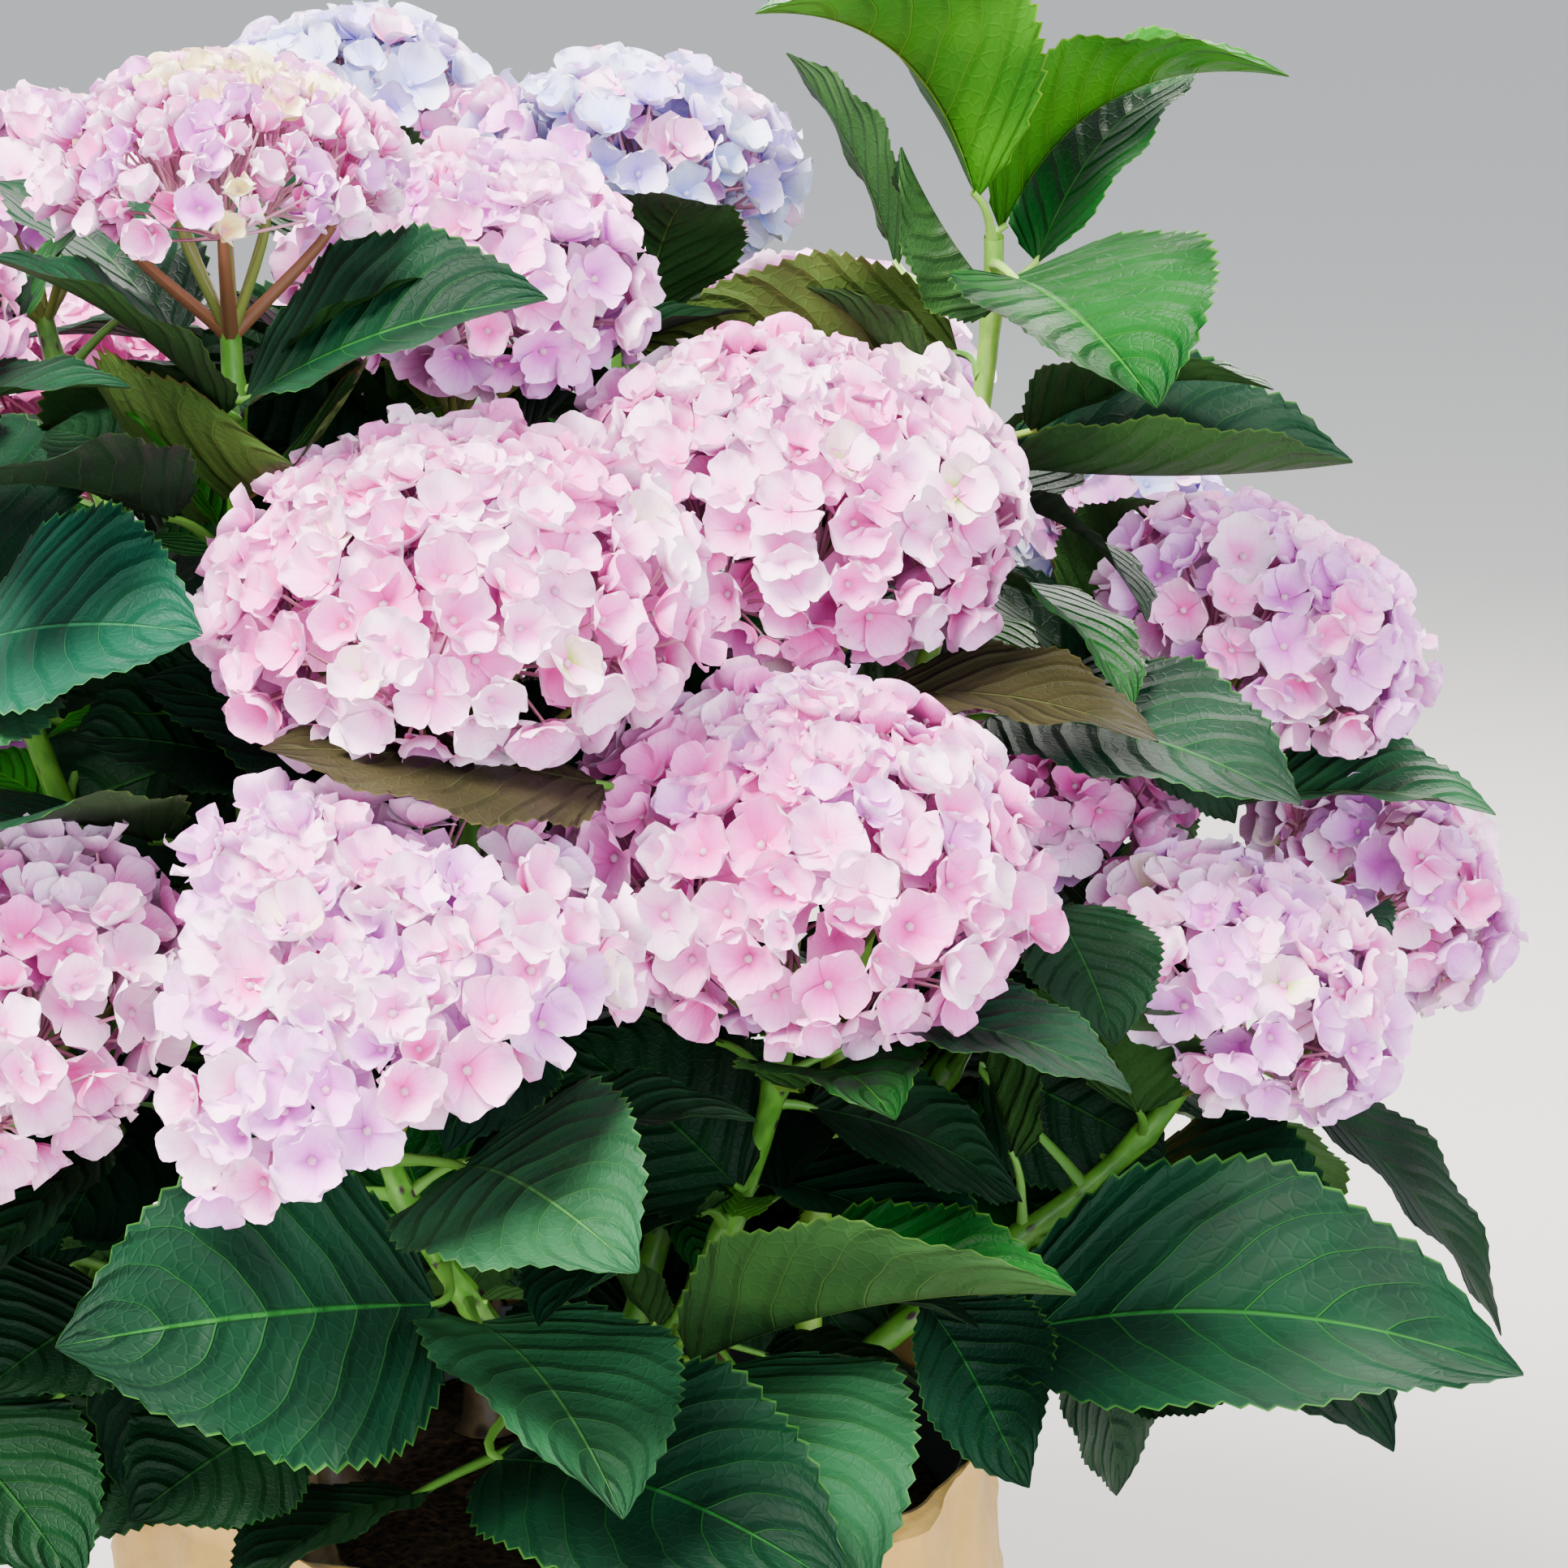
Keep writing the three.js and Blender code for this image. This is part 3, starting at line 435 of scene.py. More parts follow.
# Smaller leaves fill in where the shoots' solids left room, clear of every solid and of each other.
def fillIn():
    solids = []
    for name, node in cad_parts.items():
        data = node.data
        solids.append((name, BVHTree.FromPolygons([v.co / mm for v in data.vertices],
                                                  [tuple(p.vertices) for p in data.polygons])))
    added = []

    def isFree(leaf, s, inside=False):
        shares = (0.0, 0.15, 0.3, 0.45, 0.6, 0.8, 1.0) if inside else (0.15, 0.4, 0.7, 1.0)
        sides = (-0.95, -0.5, 0, 0.5, 0.95) if inside else (-0.95, 0, 0.95)
        spots = [leafPoint(leaf, t, side) for t in shares for side in sides]
        reach = fillRule["within" if inside else "reach"]
        if any(math.hypot(p.x, p.y) > reach or not fillRule["low"] < p.z < fillRule["high"] for p in spots):
            return False
        if inside and any(p.y < fillRule["front"] for p in spots):
            return False
        for name, tree in solids:
            room = fillRule["deepRoom" if inside else "ownRoom" if name == s["node"] else "room"]
            if any(tree.find_nearest(p, room)[0] is not None for p in spots):
                return False
        for other in shoots:
            nearest = other["wide"] * fillRule["fromHead"]
            if any((p - other["head"]).length < nearest for p in spots):
                return False
        for other in added:
            middle = other["base"] + other["along"] * other["long"] / 2
            if any((p - middle).length < other["long"] * fillRule["fromLeaf"] for p in spots):
                return False
        return True

    def keep(leaf, s, level, look, size, start):
        leaf.update(shoot=s["index"], start=start.copy(), look=look, row=None, level=level, size=size)
        added.append(leaf)

    for s, level, pair in bareSites:
        for step in range(30, 56):
            leaf = pairLeaf(s, level, pair, step, size=mix(1.15, 0.7, (step - 30) / 26))
            if isFree(leaf, s):
                look = "deep" if chance(s["index"], level, pair, 5) < 0.6 else "mid"
                keep(leaf, s, level, look, "small", s["joints"][level])
                break
    for s in shoots:  # a young side leaf or two in the axils
        for level in range(1, len(s["joints"])):
            joint = s["joints"][level]
            for pair in (0, 1):
                for step in range(60, 66):
                    leaf = pairLeaf(s, level, pair, step)
                    quarter = Quaternion(up, 1.5708 if chance(s["index"], level, pair, 8) > 0.5 else -1.5708)
                    out = leaf["base"] - joint
                    out.rotate(quarter)
                    heading = leaf["along"].copy()
                    heading.rotate(quarter)
                    heading = (heading + up * 0.35).normalized()
                    small = mix(34, 66, chance(s["index"], level, pair, step))
                    root = joint + out * 0.55
                    young = leafFrame(root, root + heading * small, (chance(step, level, 3) - 0.5) * 50)
                    young.update(wide=small * 0.6, arch=0.1, lifts=(16, 18), twist=0)
                    if isFree(young, s):
                        look = "mid" if chance(level, pair, s["index"]) < 0.55 else "fresh"
                        keep(young, s, level, look, "small", joint)
                        break
    rng = np.random.default_rng(2026)
    deep = 0
    for _ in range(fillRule["tries"]):  # and dark ones deep inside, where daylight would show through
        s = shoots[int(rng.integers(len(shoots)))]
        start = pointAt(s, rng.uniform(0.2, 0.88))
        turn, pitch = rng.uniform(0, 360), rng.uniform(-38, 20)
        heading = leaning(turn, 90 - pitch)
        base = start + heading * rng.uniform(15, 55)
        long = rng.uniform(*fillRule["long"])
        leaf = leafFrame(base, base + heading * long, rng.uniform(-40, 40))
        leaf.update(wide=long * 0.7, arch=0.1, lifts=(10, 10), twist=0)
        if deep < fillRule["most"] and isFree(leaf, s, True):
            # their dark look is painted shade in the depth of the crown
            keep(leaf, s, 0, "dark", "deep", start)
            deep += 1
    leaves.extend(added)
    return len(added)


say(f"{fillIn()} smaller leaves filled in")


# joining many small parts into one piece
def newPiece():
    piece = {key: [] for key in ("co", "quads", "tris", "uv", "cell", "box", "quadMat", "triMat")}
    piece.update(n=0, cells=0)
    return piece


def addPart(piece, co, quads, uv, cellAt, mat, tris=None, flip=False):
    quads = quads[:, [0, 3, 2, 1]] if flip else quads
    piece["co"].append(co)
    piece["quads"].append(quads + piece["n"])
    piece["quadMat"].append(np.full(len(quads), mat))
    if tris is not None:
        piece["tris"].append(tris + piece["n"])
        piece["triMat"].append(np.full(len(tris), mat))
    piece["uv"].append(uv)
    piece["cell"].append(np.full(len(co), piece["cells"]))
    piece["box"].append(cellAt)
    piece["n"] += len(co)
    piece["cells"] += 1


# Each part has a cell of its own in the map that a bake uses.
def bakeCorners(piece, wideCell):
    cells = piece["cells"]
    columns = max(1, round(math.sqrt(cells / wideCell)))
    rows = math.ceil(cells / columns)
    cell = np.concatenate(piece["cell"])
    at = np.concatenate(piece["box"])
    inset = 0.045  # a margin all round the cell
    x = (cell % columns + inset + at[:, 0] * (1 - 2 * inset)) / columns
    y = (cell // columns + inset + at[:, 1] * (1 - 2 * inset)) / rows
    return np.stack([x, y], 1)


def finishPiece(piece, name, materials, mapName, nodes, wideCell=1.0, baked=True):
    co = np.concatenate(piece["co"]) * mm
    quads = np.concatenate(piece["quads"]) if piece["quads"] else np.zeros((0, 4), int)
    tris = np.concatenate(piece["tris"]) if piece["tris"] else np.zeros((0, 3), int)
    loops = np.concatenate([quads.ravel(), tris.ravel()]).astype(np.int32)
    starts = np.concatenate([np.arange(len(quads)) * 4, len(quads) * 4 + np.arange(len(tris)) * 3])
    data = bpy.data.meshes.new(name)
    data.vertices.add(len(co))
    data.vertices.foreach_set("co", co.astype(np.float32).ravel())
    data.loops.add(len(loops))
    data.loops.foreach_set("vertex_index", loops)
    data.polygons.add(len(starts))
    data.polygons.foreach_set("loop_start", starts.astype(np.int32))
    mats = np.concatenate([*piece["quadMat"], *piece["triMat"]]).astype(np.int32)
    data.polygons.foreach_set("material_index", mats)
    data.polygons.foreach_set("use_smooth", np.ones(len(starts), bool))
    layer = data.uv_layers.new(name=mapName)
    layer.data.foreach_set("uv", np.concatenate(piece["uv"])[loops].astype(np.float32).ravel())
    if baked:
        bake = data.uv_layers.new(name="OFBake")
        bake.data.foreach_set("uv", bakeCorners(piece, wideCell)[loops].astype(np.float32).ravel())
        data.uv_layers.active = data.uv_layers[mapName]
        data.uv_layers[mapName].active_render = True
    for material in materials:
        data.materials.append(material)
    data.update(calc_edges=True)
    data.validate()
    thing = bpy.data.objects.new(name, data)
    bpy.context.scene.collection.objects.link(thing)
    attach(thing, "root")
    if nodes:
        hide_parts(*nodes)
    say(f"{name}: {len(quads) * 2 + len(tris)} triangles")


def gridFaces(rows, columns):
    i, k = np.meshgrid(np.arange(rows), np.arange(columns), indexing="ij")
    a = (i * (columns + 1) + k).ravel()
    return np.stack([a, a + 1, a + columns + 2, a + columns + 1], 1)


# Tube along points, its rings turned as little as can be. The map holds the turn and the millimetres along.
def tubeAlong(points, radii, count):
    points = np.asarray([tuple(p) for p in points], float)
    tangents = np.gradient(points, axis=0)
    tangents /= np.linalg.norm(tangents, axis=1)[:, None]
    side = np.array(tuple(sidesOf(Vector(tangents[0]))[0]))
    ring = np.linspace(0, 2 * np.pi, count + 1)
    co = []
    for p, along, r in zip(points, tangents, radii):
        side = side - along * side.dot(along)
        side /= np.linalg.norm(side)
        other = np.cross(along, side)
        co.append(p + np.outer(np.cos(ring) * r, side) + np.outer(np.sin(ring) * r, other))
    rise = np.concatenate([[0], np.cumsum(np.linalg.norm(np.diff(points, axis=0), axis=1))])
    u, w = np.meshgrid(ring / (2 * np.pi), rise)
    uv = np.stack([u.ravel(), w.ravel() / 100], 1)
    cellAt = np.stack([u.ravel(), w.ravel() / rise[-1]], 1)
    return np.concatenate(co), gridFaces(len(points) - 1, count), uv, cellAt


# materials
def newMaterial(name, rough, specular, **more):
    made = bpy.data.materials.new(name)
    made.use_nodes = True
    shader = made.node_tree.nodes["Principled BSDF"]
    plug(shader, {"Roughness": rough, "Specular IOR Level": specular})
    plug(shader, {key.replace("_", " "): value for key, value in more.items()})
    return made, partial(addNode, made.node_tree), shader


# Hydrangea leaf: a waxy cuticle over soft tissue, so a broad dull gloss, paler along sunken veins.
leafPaint = {
    "deep": {"blade": "#042f1a", "shade": "#021f11", "vein": "#1f6420", "edge": "#468626", "rough": 0.6},
    # dark: a shaded copy of the deep green, painted shade on leaves low in the crown, under others or deep
    # inside, and also dealt at random to some pair leaves
    "dark": {"blade": "#042a11", "shade": "#021a09", "vein": "#154a16", "edge": "#225618", "rough": 0.58},
    "mid": {"blade": "#074812", "shade": "#04300b", "vein": "#2c781a", "edge": "#589224", "rough": 0.5},
    "fresh": {"blade": "#125e00", "shade": "#084600", "vein": "#3c8c0c", "edge": "#72a81e", "rough": 0.48},
    "dull": {"blade": "#1e5230", "shade": "#12381f", "vein": "#3c7434", "edge": "#4a7c34", "rough": 0.58},
    "olive": {"blade": "#302c18", "shade": "#23210f", "vein": "#4c5428", "edge": "#545026", "rough": 0.6},
    "cool": {"blade": "#0c4632", "shade": "#083425", "vein": "#2c7248", "edge": "#4c8a3c", "rough": 0.55},
    "khaki": {"blade": "#4c6428", "shade": "#3a5020", "vein": "#7c8e3e", "edge": "#76763a", "rough": 0.58},
    "crisp": {"blade": "#1a4a14", "shade": "#0e300a", "vein": "#4a7224", "edge": "#5a3416", "rough": 0.52},
}
underPaint = {
    # shade: the darker underside of the dark leaves, painted shade
    "shade": {"blade": "#16301a", "shade": "#0f2412", "vein": "#2f5420", "edge": "#3a5e22", "rough": 0.65},
    "grey": {"blade": "#274b1e", "shade": "#1b3a18", "vein": "#4a702a", "edge": "#5a822a", "rough": 0.65},
    "fresh": {"blade": "#34760a", "shade": "#1e5c08", "vein": "#62981e", "edge": "#88ae2c", "rough": 0.58},
    "olive": {"blade": "#38301f", "shade": "#2a2a19", "vein": "#4a4d28", "edge": "#5c5c2c", "rough": 0.64},
    "khaki": {"blade": "#6a7c38", "shade": "#586c2e", "vein": "#94a452", "edge": "#8c9444", "rough": 0.62},
    "crisp": {"blade": "#4e6c2c", "shade": "#33561e", "vein": "#8a963e", "edge": "#5c3a1e", "rough": 0.62},
}
underOf = {"deep": "grey", "dark": "shade", "mid": "grey", "fresh": "fresh", "dull": "grey", "olive": "olive",
           "khaki": "khaki", "crisp": "crisp", "cool": "grey"}
# side veins: pairs along the blade, how far they run forward and bend, and how far left and right alternate
veinRule = {"pairs": 8.0, "lean": 1.75, "bend": 0.9, "stagger": 0.16}


def leafMaterial(name, paint, raised):
    edgeShare = 0.9 if "crisp" in name else 0.42
    made, add, shader = newMaterial(name, paint["rough"], 0.13)
    where = add("UVMap", uv_map="leafMap")
    parts = add("SeparateXYZ", {0: where})
    across = add("Math", {0: parts.outputs[1], 1: 2.0, 2: -1.0}, operation="MULTIPLY_ADD")
    side = add("Math", {0: across}, operation="ABSOLUTE")
    square = add("Math", {0: side, 1: veinRule["bend"], 2: veinRule["lean"]}, operation="MULTIPLY_ADD")
    lag = add("Math", {0: square, 1: side}, operation="MULTIPLY")
    alternate = add("Math", {0: across, 1: veinRule["stagger"]}, operation="MULTIPLY")
    ribs = add("Math", {0: parts, 1: veinRule["pairs"], 2: alternate}, operation="MULTIPLY_ADD")
    phase = add("Math", {0: ribs, 1: lag}, operation="SUBTRACT")
    wander = add("TexNoise", {"Vector": where, "Scale": 7.0, "Detail": 0.0}, noise_dimensions="2D")
    bent = add("Math", {0: wander, 1: 0.18, 2: phase}, operation="MULTIPLY_ADD")
    near = add("Math", {0: bent, 1: 0.5}, operation="PINGPONG")
    fade = add("MapRange", {0: side, 1: 0.1, 2: 1.0, 3: 0.78, 4: 0.2})
    tipFade = add("MapRange", {0: parts, 1: 0.7, 2: 0.94, 3: 1.0, 4: 0.15})
    strength = add("Math", {0: fade, 1: tipFade}, operation="MULTIPLY")
    line = add("MapRange", {0: near, 1: 0.006, 2: 0.038, 3: 1.0, 4: 0.0}, **easing)
    second = add("Math", {0: line, 1: strength}, operation="MULTIPLY")
    rib = add("MapRange", {0: side, 1: 0.008, 2: 0.028, 3: 1.0, 4: 0.0}, **easing)
    veins = add("Math", {0: rib, 1: second}, operation="MAXIMUM")
    # the finest net of veins is about 4 mm across
    spread = add("Mapping", {0: where, 3: (27.0, 19.0, 1.0)})
    net = add("TexVoronoi", {"Vector": spread, "Scale": 1.0},
              feature="DISTANCE_TO_EDGE", voronoi_dimensions="2D")
    netLine = add("MapRange", {0: net, 1: 0.0, 2: 0.1, 3: 0.07, 4: 0.0}, **easing)
    allVeins = add("Math", {0: veins, 1: netLine}, operation="MAXIMUM")
    margin = add("MapRange", {0: side, 1: 0.97, 2: 1.0, 3: 0.0, 4: edgeShare}, **easing)
    place = add("TexCoord").outputs["Object"]
    cloud = add("TexNoise", {"Vector": place, "Scale": 26.0, "Detail": 1.0})  # 40 mm
    tone = add("MapRange", {0: cloud, 1: 0.32, 2: 0.68, 3: 0.0, 4: 1.0})
    blade = add("Mix", {0: tone, 6: linear(paint["shade"]), 7: linear(paint["blade"])}, **colours)
    withEdge = add("Mix", {0: margin, 6: blade, 7: linear(paint["edge"])}, **colours)
    share = add("Math", {0: allVeins, 1: 0.66}, operation="MULTIPLY")
    full = add("Mix", {0: share, 6: withEdge, 7: linear(paint["vein"])}, **colours)
    # tissue swells between the veins, most of all on the upper side
    swell = add("MapRange", {0: near, 1: 0.0, 2: 0.32, 3: 0.0, 4: 1.0}, **easing)
    puff = add("MapRange", {0: net, 1: 0.0, 2: 0.16, 3: 0.0, 4: 0.1}, **easing)
    height = add("Math", {0: swell, 1: puff}, operation="ADD")
    ridge = add("Math", {0: veins, 1: 1.0 if raised else -0.9, 2: height}, operation="MULTIPLY_ADD")
    bump = add("Bump", {"Strength": 0.8, "Distance": 0.0015, "Height": ridge})
    plug(shader, {"Base Color": full, "Normal": bump})
    return made


# Hydrangea sepal: thin and papery with a satin face, deeper in colour at the claw, with fine veins.
petalPaint = {
    "pink": {"edge": "#f9c4ec", "body": "#f28ad4", "heart": "#e048a8"},
    "pale": {"edge": "#fee4f8", "body": "#f9bcea", "heart": "#ec76c6"},
    "rose": {"edge": "#f5a0dc", "body": "#ec6ac4", "heart": "#d43a9e"},
    "orchid": {"edge": "#f2c0f2", "body": "#e692e4", "heart": "#cc5ac4"},
    "lilac": {"edge": "#e0d4f8", "body": "#c4b2f2", "heart": "#9a82e2"},
    "sky": {"edge": "#e6eafc", "body": "#c6cef6", "heart": "#9ca6ec"},
    "cream": {"edge": "#fbf0d2", "body": "#f2eaa8", "heart": "#e6b492"},
    "lime": {"edge": "#fbd8ea", "body": "#f7dcd6", "heart": "#a4c63a"},
}


def petalMaterial(name, paint):
    made, add, shader = newMaterial(name, 0.5, 0.3, Sheen_Weight=0.25, Sheen_Roughness=0.4)
    where = add("UVMap", uv_map="petalMap")
    parts = add("SeparateXYZ", {0: where})
    place = add("TexCoord").outputs["Object"]
    cloud = add("TexNoise", {"Vector": place, "Scale": 60.0, "Detail": 0.0})  # 17 mm
    drift = add("Math", {0: cloud, 1: 0.6, 2: -0.3}, operation="MULTIPLY_ADD")
    along = add("Math", {0: parts.outputs[1], 1: drift}, operation="ADD")
    inner = add("MapRange", {0: along, 1: 0.04, 2: 0.42, 3: 1.0, 4: 0.0}, **easing)
    outer = add("MapRange", {0: along, 1: 0.35, 2: 1.0, 3: 0.0, 4: 1.0}, **easing)
    offset = add("Math", {0: parts, 1: 2.0, 2: -1.0}, operation="MULTIPLY_ADD")
    side = add("Math", {0: offset}, operation="ABSOLUTE")
    rim = add("MapRange", {0: side, 1: 0.6, 2: 1.0, 3: 0.0, 4: 0.7}, **easing)
    pale = add("Math", {0: outer, 1: rim}, operation="MAXIMUM")
    first = add("Mix", {0: pale, 6: linear(paint["body"]), 7: linear(paint["edge"])}, **colours)
    second = add("Mix", {0: inner, 6: first, 7: linear(paint["heart"])}, **colours)
    # veins fan from the claw, about 1 mm apart half way up
    fan = add("Mapping", {0: where, 3: (13.0, 1.6, 1.0)})
    veinNoise = add("TexNoise", {"Vector": fan, "Scale": 1.0, "Detail": 1.0}, noise_dimensions="2D")
    veins = add("MapRange", {0: veinNoise, 1: 0.5, 2: 0.66, 3: 0.0, 4: 0.22})
    third = add("Mix", {0: veins, 6: second, 7: linear(paint["heart"])}, **colours)
    plug(shader, {"Base Color": third})
    return made


# Green shoot: smooth ridged skin, fleshy and slightly glossy, with dark purple lenticels.
def stemMaterial(name, skin, shade, spot, spotShare):
    made, add, shader = newMaterial(name, 0.42, 0.5)
    where = add("UVMap", uv_map="stemMap")
    streaks = add("Mapping", {0: where, 3: (5.0, 9.0, 1.0)})
    grain = add("TexNoise", {"Vector": streaks, "Scale": 1.2, "Detail": 3.0})
    spots = add("Mapping", {0: where, 3: (5.0, 10.0, 1.0)})  # lenticels about 6 by 10 mm apart
    cells = add("TexVoronoi", {"Vector": spots, "Scale": 1.0, "Randomness": 1.0})
    isSpot = add("MapRange", {0: cells, 1: 0.14, 2: 0.28, 3: 1.0, 4: 0.0})
    chosen = add("MapRange", {0: grain, 1: 0.6 - spotShare, 2: 0.66 - spotShare, 3: 0.0, 4: 1.0})
    spotMask = add("Math", {0: isSpot, 1: chosen}, operation="MULTIPLY")
    tone = add("MapRange", {0: grain, 1: 0.35, 2: 0.65, 3: 0.0, 4: 1.0})
    base = add("Mix", {0: tone, 6: linear(shade), 7: linear(skin)}, **colours)
    full = add("Mix", {0: spotMask, 6: base, 7: linear(spot)}, **colours)
    height = add("Math", {0: spotMask, 1: 0.8, 2: grain}, operation="MULTIPLY_ADD")
    bump = add("Bump", {"Strength": 0.5, "Distance": 0.0006, "Height": height})
    plug(shader, {"Base Color": full, "Normal": bump})
    return made


def plainMaterial(name, colour, rough):
    made, add, shader = newMaterial(name, rough, 0.4)
    place = add("TexCoord").outputs["Object"]
    grain = add("TexNoise", {"Vector": place, "Scale": 420.0, "Detail": 2.0})  # 2 mm pores
    bump = add("Bump", {"Strength": 0.3, "Distance": 0.0004, "Height": grain})
    plug(shader, {"Base Color": linear(colour), "Normal": bump})
    return made


# leaves
bladeShapes = {
    "full": {"rows": 42, "sides": (0.2, 0.52, 0.84, 1.0), "tooth": 0.021, "thick": 0.5},
    "small": {"rows": 20, "sides": (0.3, 0.72, 1.0), "tooth": 0.03, "thick": 0.4},
    "deep": {"rows": 14, "sides": (0.5, 1.0), "tooth": 0.03, "thick": 0.4},
}
# the tip's narrowing and a notch's depth as shares, the swelling between veins and the margin's waves in
# millimetres, the waves' number, the doming of each half as a share, and how far the midrib stands out below
bladeForm = {"tip": 0.22, "notch": 0.35, "quilt": 0.45, "wave": 1.9, "waves": 3.2, "dome": 0.05, "rib": 0.9}
# radii of a petiole, and how much thinner those of the small leaves are
petiole = {"foot": 2.7, "middle": 1.7, "top": 1.25, "small": 0.75}
looks = list(leafPaint)
unders = list(underPaint)


def bladeGrid(leaf, shape, seed):
    levels = [-a for a in shape["sides"][::-1]] + [0.0] + list(shape["sides"])
    rows, columns = shape["rows"], len(levels) - 1
    t, s = np.meshgrid(np.linspace(0, 1, rows + 1), levels, indexing="ij")
    t, s = t.ravel().copy(), s.ravel()
    a = np.abs(s)
    row = np.rint(t * rows)
    isTip = (row % 2 == 1) & (a > 0.99)
    mapT = t.copy()
    t = np.where(isTip, np.clip(t + 0.4 / rows, 0, 1), t)
    half = halfWidth(t)
    half = half * (1 - bladeForm["tip"] * np.clip((t - 0.8) / 0.2, 0, 1) ** 1.5)  # drawn-out tip
    half = np.maximum(half, 0.006)
    fullEnough = np.clip(half * 5, 0, 1)
    edge = np.where(isTip, shape["tooth"], -shape["tooth"] * bladeForm["notch"]) * (a > 0.99) * fullEnough
    wide, long = leaf["wide"], leaf["long"]
    reach = wide * (half * a + edge)
    base, along = np.array(leaf["base"]), np.array(leaf["along"])
    across = np.array(leaf["across"])
    angle = rad(leaf["twist"]) * t
    turned = np.outer(np.cos(angle), across) + np.outer(np.sin(angle), np.cross(along, across))
    normal = np.cross(turned, along)
    lift = np.where(s < 0, rad(leaf["lifts"][0]), rad(leaf["lifts"][1])) * (0.55 + 0.45 * a)
    lag = veinRule["lean"] * a + veinRule["bend"] * a * a
    phase = veinRule["pairs"] * t + veinRule["stagger"] * s - lag
    fine = min(1.0, long / 110)
    window = np.clip(t * 8, 0, 1) * np.clip((1 - t) * 5, 0, 1)
    quilt = np.sin(np.pi * phase) ** 2 * (a * (1 - a ** 6)) * bladeForm["quilt"] * fine * window
    ripple = np.sin(2 * np.pi * (bladeForm["waves"] * t + chance(seed, 1)) + s)
    wave = a ** 3 * ripple * bladeForm["wave"] * fine * window
    dome = (a * (1 - 0.75 * a)) * wide * bladeForm["dome"] * window
    rise = leaf["arch"] * long * 4 * t * (1 - t) + reach * np.sin(lift) + quilt + wave + dome
    sideways = np.sign(s) * reach * np.cos(lift)
    co = base + np.outer(t * long, along) + normal * rise[:, None] + turned * sideways[:, None]
    uv = np.stack([mapT, s * 0.5 + 0.5], 1)
    depth = shape["thick"] * (1 - a ** 4) + np.where(a < 0.01, bladeForm["rib"] * (1 - t) * fine, 0)
    low = co - normal * depth[:, None]
    return co, low, gridFaces(rows, columns), uv


def petioleOf(leaf):
    start, base = leaf["start"], leaf["base"]
    out = base - start
    reach = out.length
    bend = [start, start + out * 0.35 + up * reach * 0.02, base - leaf["along"] * reach * 0.3,
            base + leaf["along"] * 3]
    points = [bezier(bend, k / 7) for k in range(8)]
    size = petiole["small"] if "size" in leaf else 1.0
    lower = [mix(petiole["foot"], petiole["middle"], k / 3) * size for k in range(4)]
    upper = [mix(petiole["middle"], petiole["top"], k / 3) * size for k in range(4)]
    return points, lower + upper


def buildFoliage():
    tops = [leafMaterial(f"hydrangea leaf, {look} upper side", leafPaint[look], False) for look in looks]
    lows = [leafMaterial(f"hydrangea leaf, {under} underside", underPaint[under], True) for under in unders]
    petioles = newPiece()
    for number in range(len(canes)):
        piece = newPiece()
        for leaf in leaves:
            if shoots[leaf["shoot"]]["cane"] != number:
                continue
            seed = int(abs(leaf["base"].x * 7 + leaf["base"].z * 13)) + leaf["level"]
            top, low, faces, uv = bladeGrid(leaf, bladeShapes[leaf.get("size", "full")], seed)
            addPart(piece, top, faces, uv, uv, looks.index(leaf["look"]), flip=True)
            addPart(piece, low, faces, uv, uv, len(looks) + unders.index(underOf[leaf["look"]]))
            fresh = 1 if leaf["look"] in ("fresh", "mid") else 0
            addPart(petioles, *tubeAlong(*petioleOf(leaf), 6), fresh)
        nodes = [s["node"] for s in shoots if s["cane"] == number]
        finishPiece(piece, f"foliage_{number + 1}", tops + lows, "leafMap", nodes, 1.3)
    finishPiece(petioles, "petioles", [plainMaterial("petiole skin, green", "#558a30", 0.45),
                                       plainMaterial("petiole skin, young", "#86b544", 0.42)],
                "stemMap", (), baked=False)


# stems and canes: a stem's radii, how much it swells at a joint and how far
stem = {"root": 4.9, "top": 3.5, "swell": 1.5, "swellLong": 5.5}
# an old cut beside one stem: which, how far up, where it points, and its thickness along
prunedStub = {"shoot": 4, "share": 0.42, "towards": (-0.5, -0.55, 0.66),
              "along": (0, 5, 10, 13, 13.4, 13.5), "radii": (4.6, 4.1, 3.9, 4.2, 3.6, 0.05)}
caneRadii = (12.3, 10.6, 9.4, 8.8, 8.4, 8.0, 7.6, 7.2, 7.0, 7.2, 7.8, 5.6, 0.5)  # from the soil up
forkRadii = (6.6, 6.0, 5.5, 5.2, 5.1, 5.2, 5.3)
ridges = {"across": 0.35, "up": 0.09, "deep": 1.1}  # how close together in the noise, and their depth


def buildStems():
    piece = newPiece()
    for s in shoots:
        count = max(10, round(s["long"] / 7))
        points = [pointAt(s, k / count) for k in range(count + 1)]
        points[0] = points[0] - s["set"] * 4
        points[-1] = points[-1] + s["facing"] * 3
        radii = []
        for k, p in enumerate(points):
            swell = sum(math.exp(-((p - joint).length / stem["swellLong"]) ** 2) for joint in s["joints"])
            radii.append(mix(stem["root"], stem["top"], k / count) + stem["swell"] * swell)
        co, quads, uv, cellAt = tubeAlong(points, radii, 12)
        uv[:, 1] += s["index"] * 3.7
        addPart(piece, co, quads, uv, cellAt, 1 if s["kind"] == "leafy" else 0)
    stubAt = pointAt(shoots[prunedStub["shoot"]], prunedStub["share"])
    outward = Vector(prunedStub["towards"]).normalized()
    points = [stubAt + outward * d for d in prunedStub["along"]]
    addPart(piece, *tubeAlong(points, prunedStub["radii"], 12), 0)
    skins = [stemMaterial("green shoot bark with lenticels", "#57922a", "#3c741c", "#331626", 0.22),
             stemMaterial("young shoot skin", "#8fc046", "#6ba536", "#5d6f2a", 0.0)]
    finishPiece(piece, "stems", skins, "stemMap", (), 0.3)


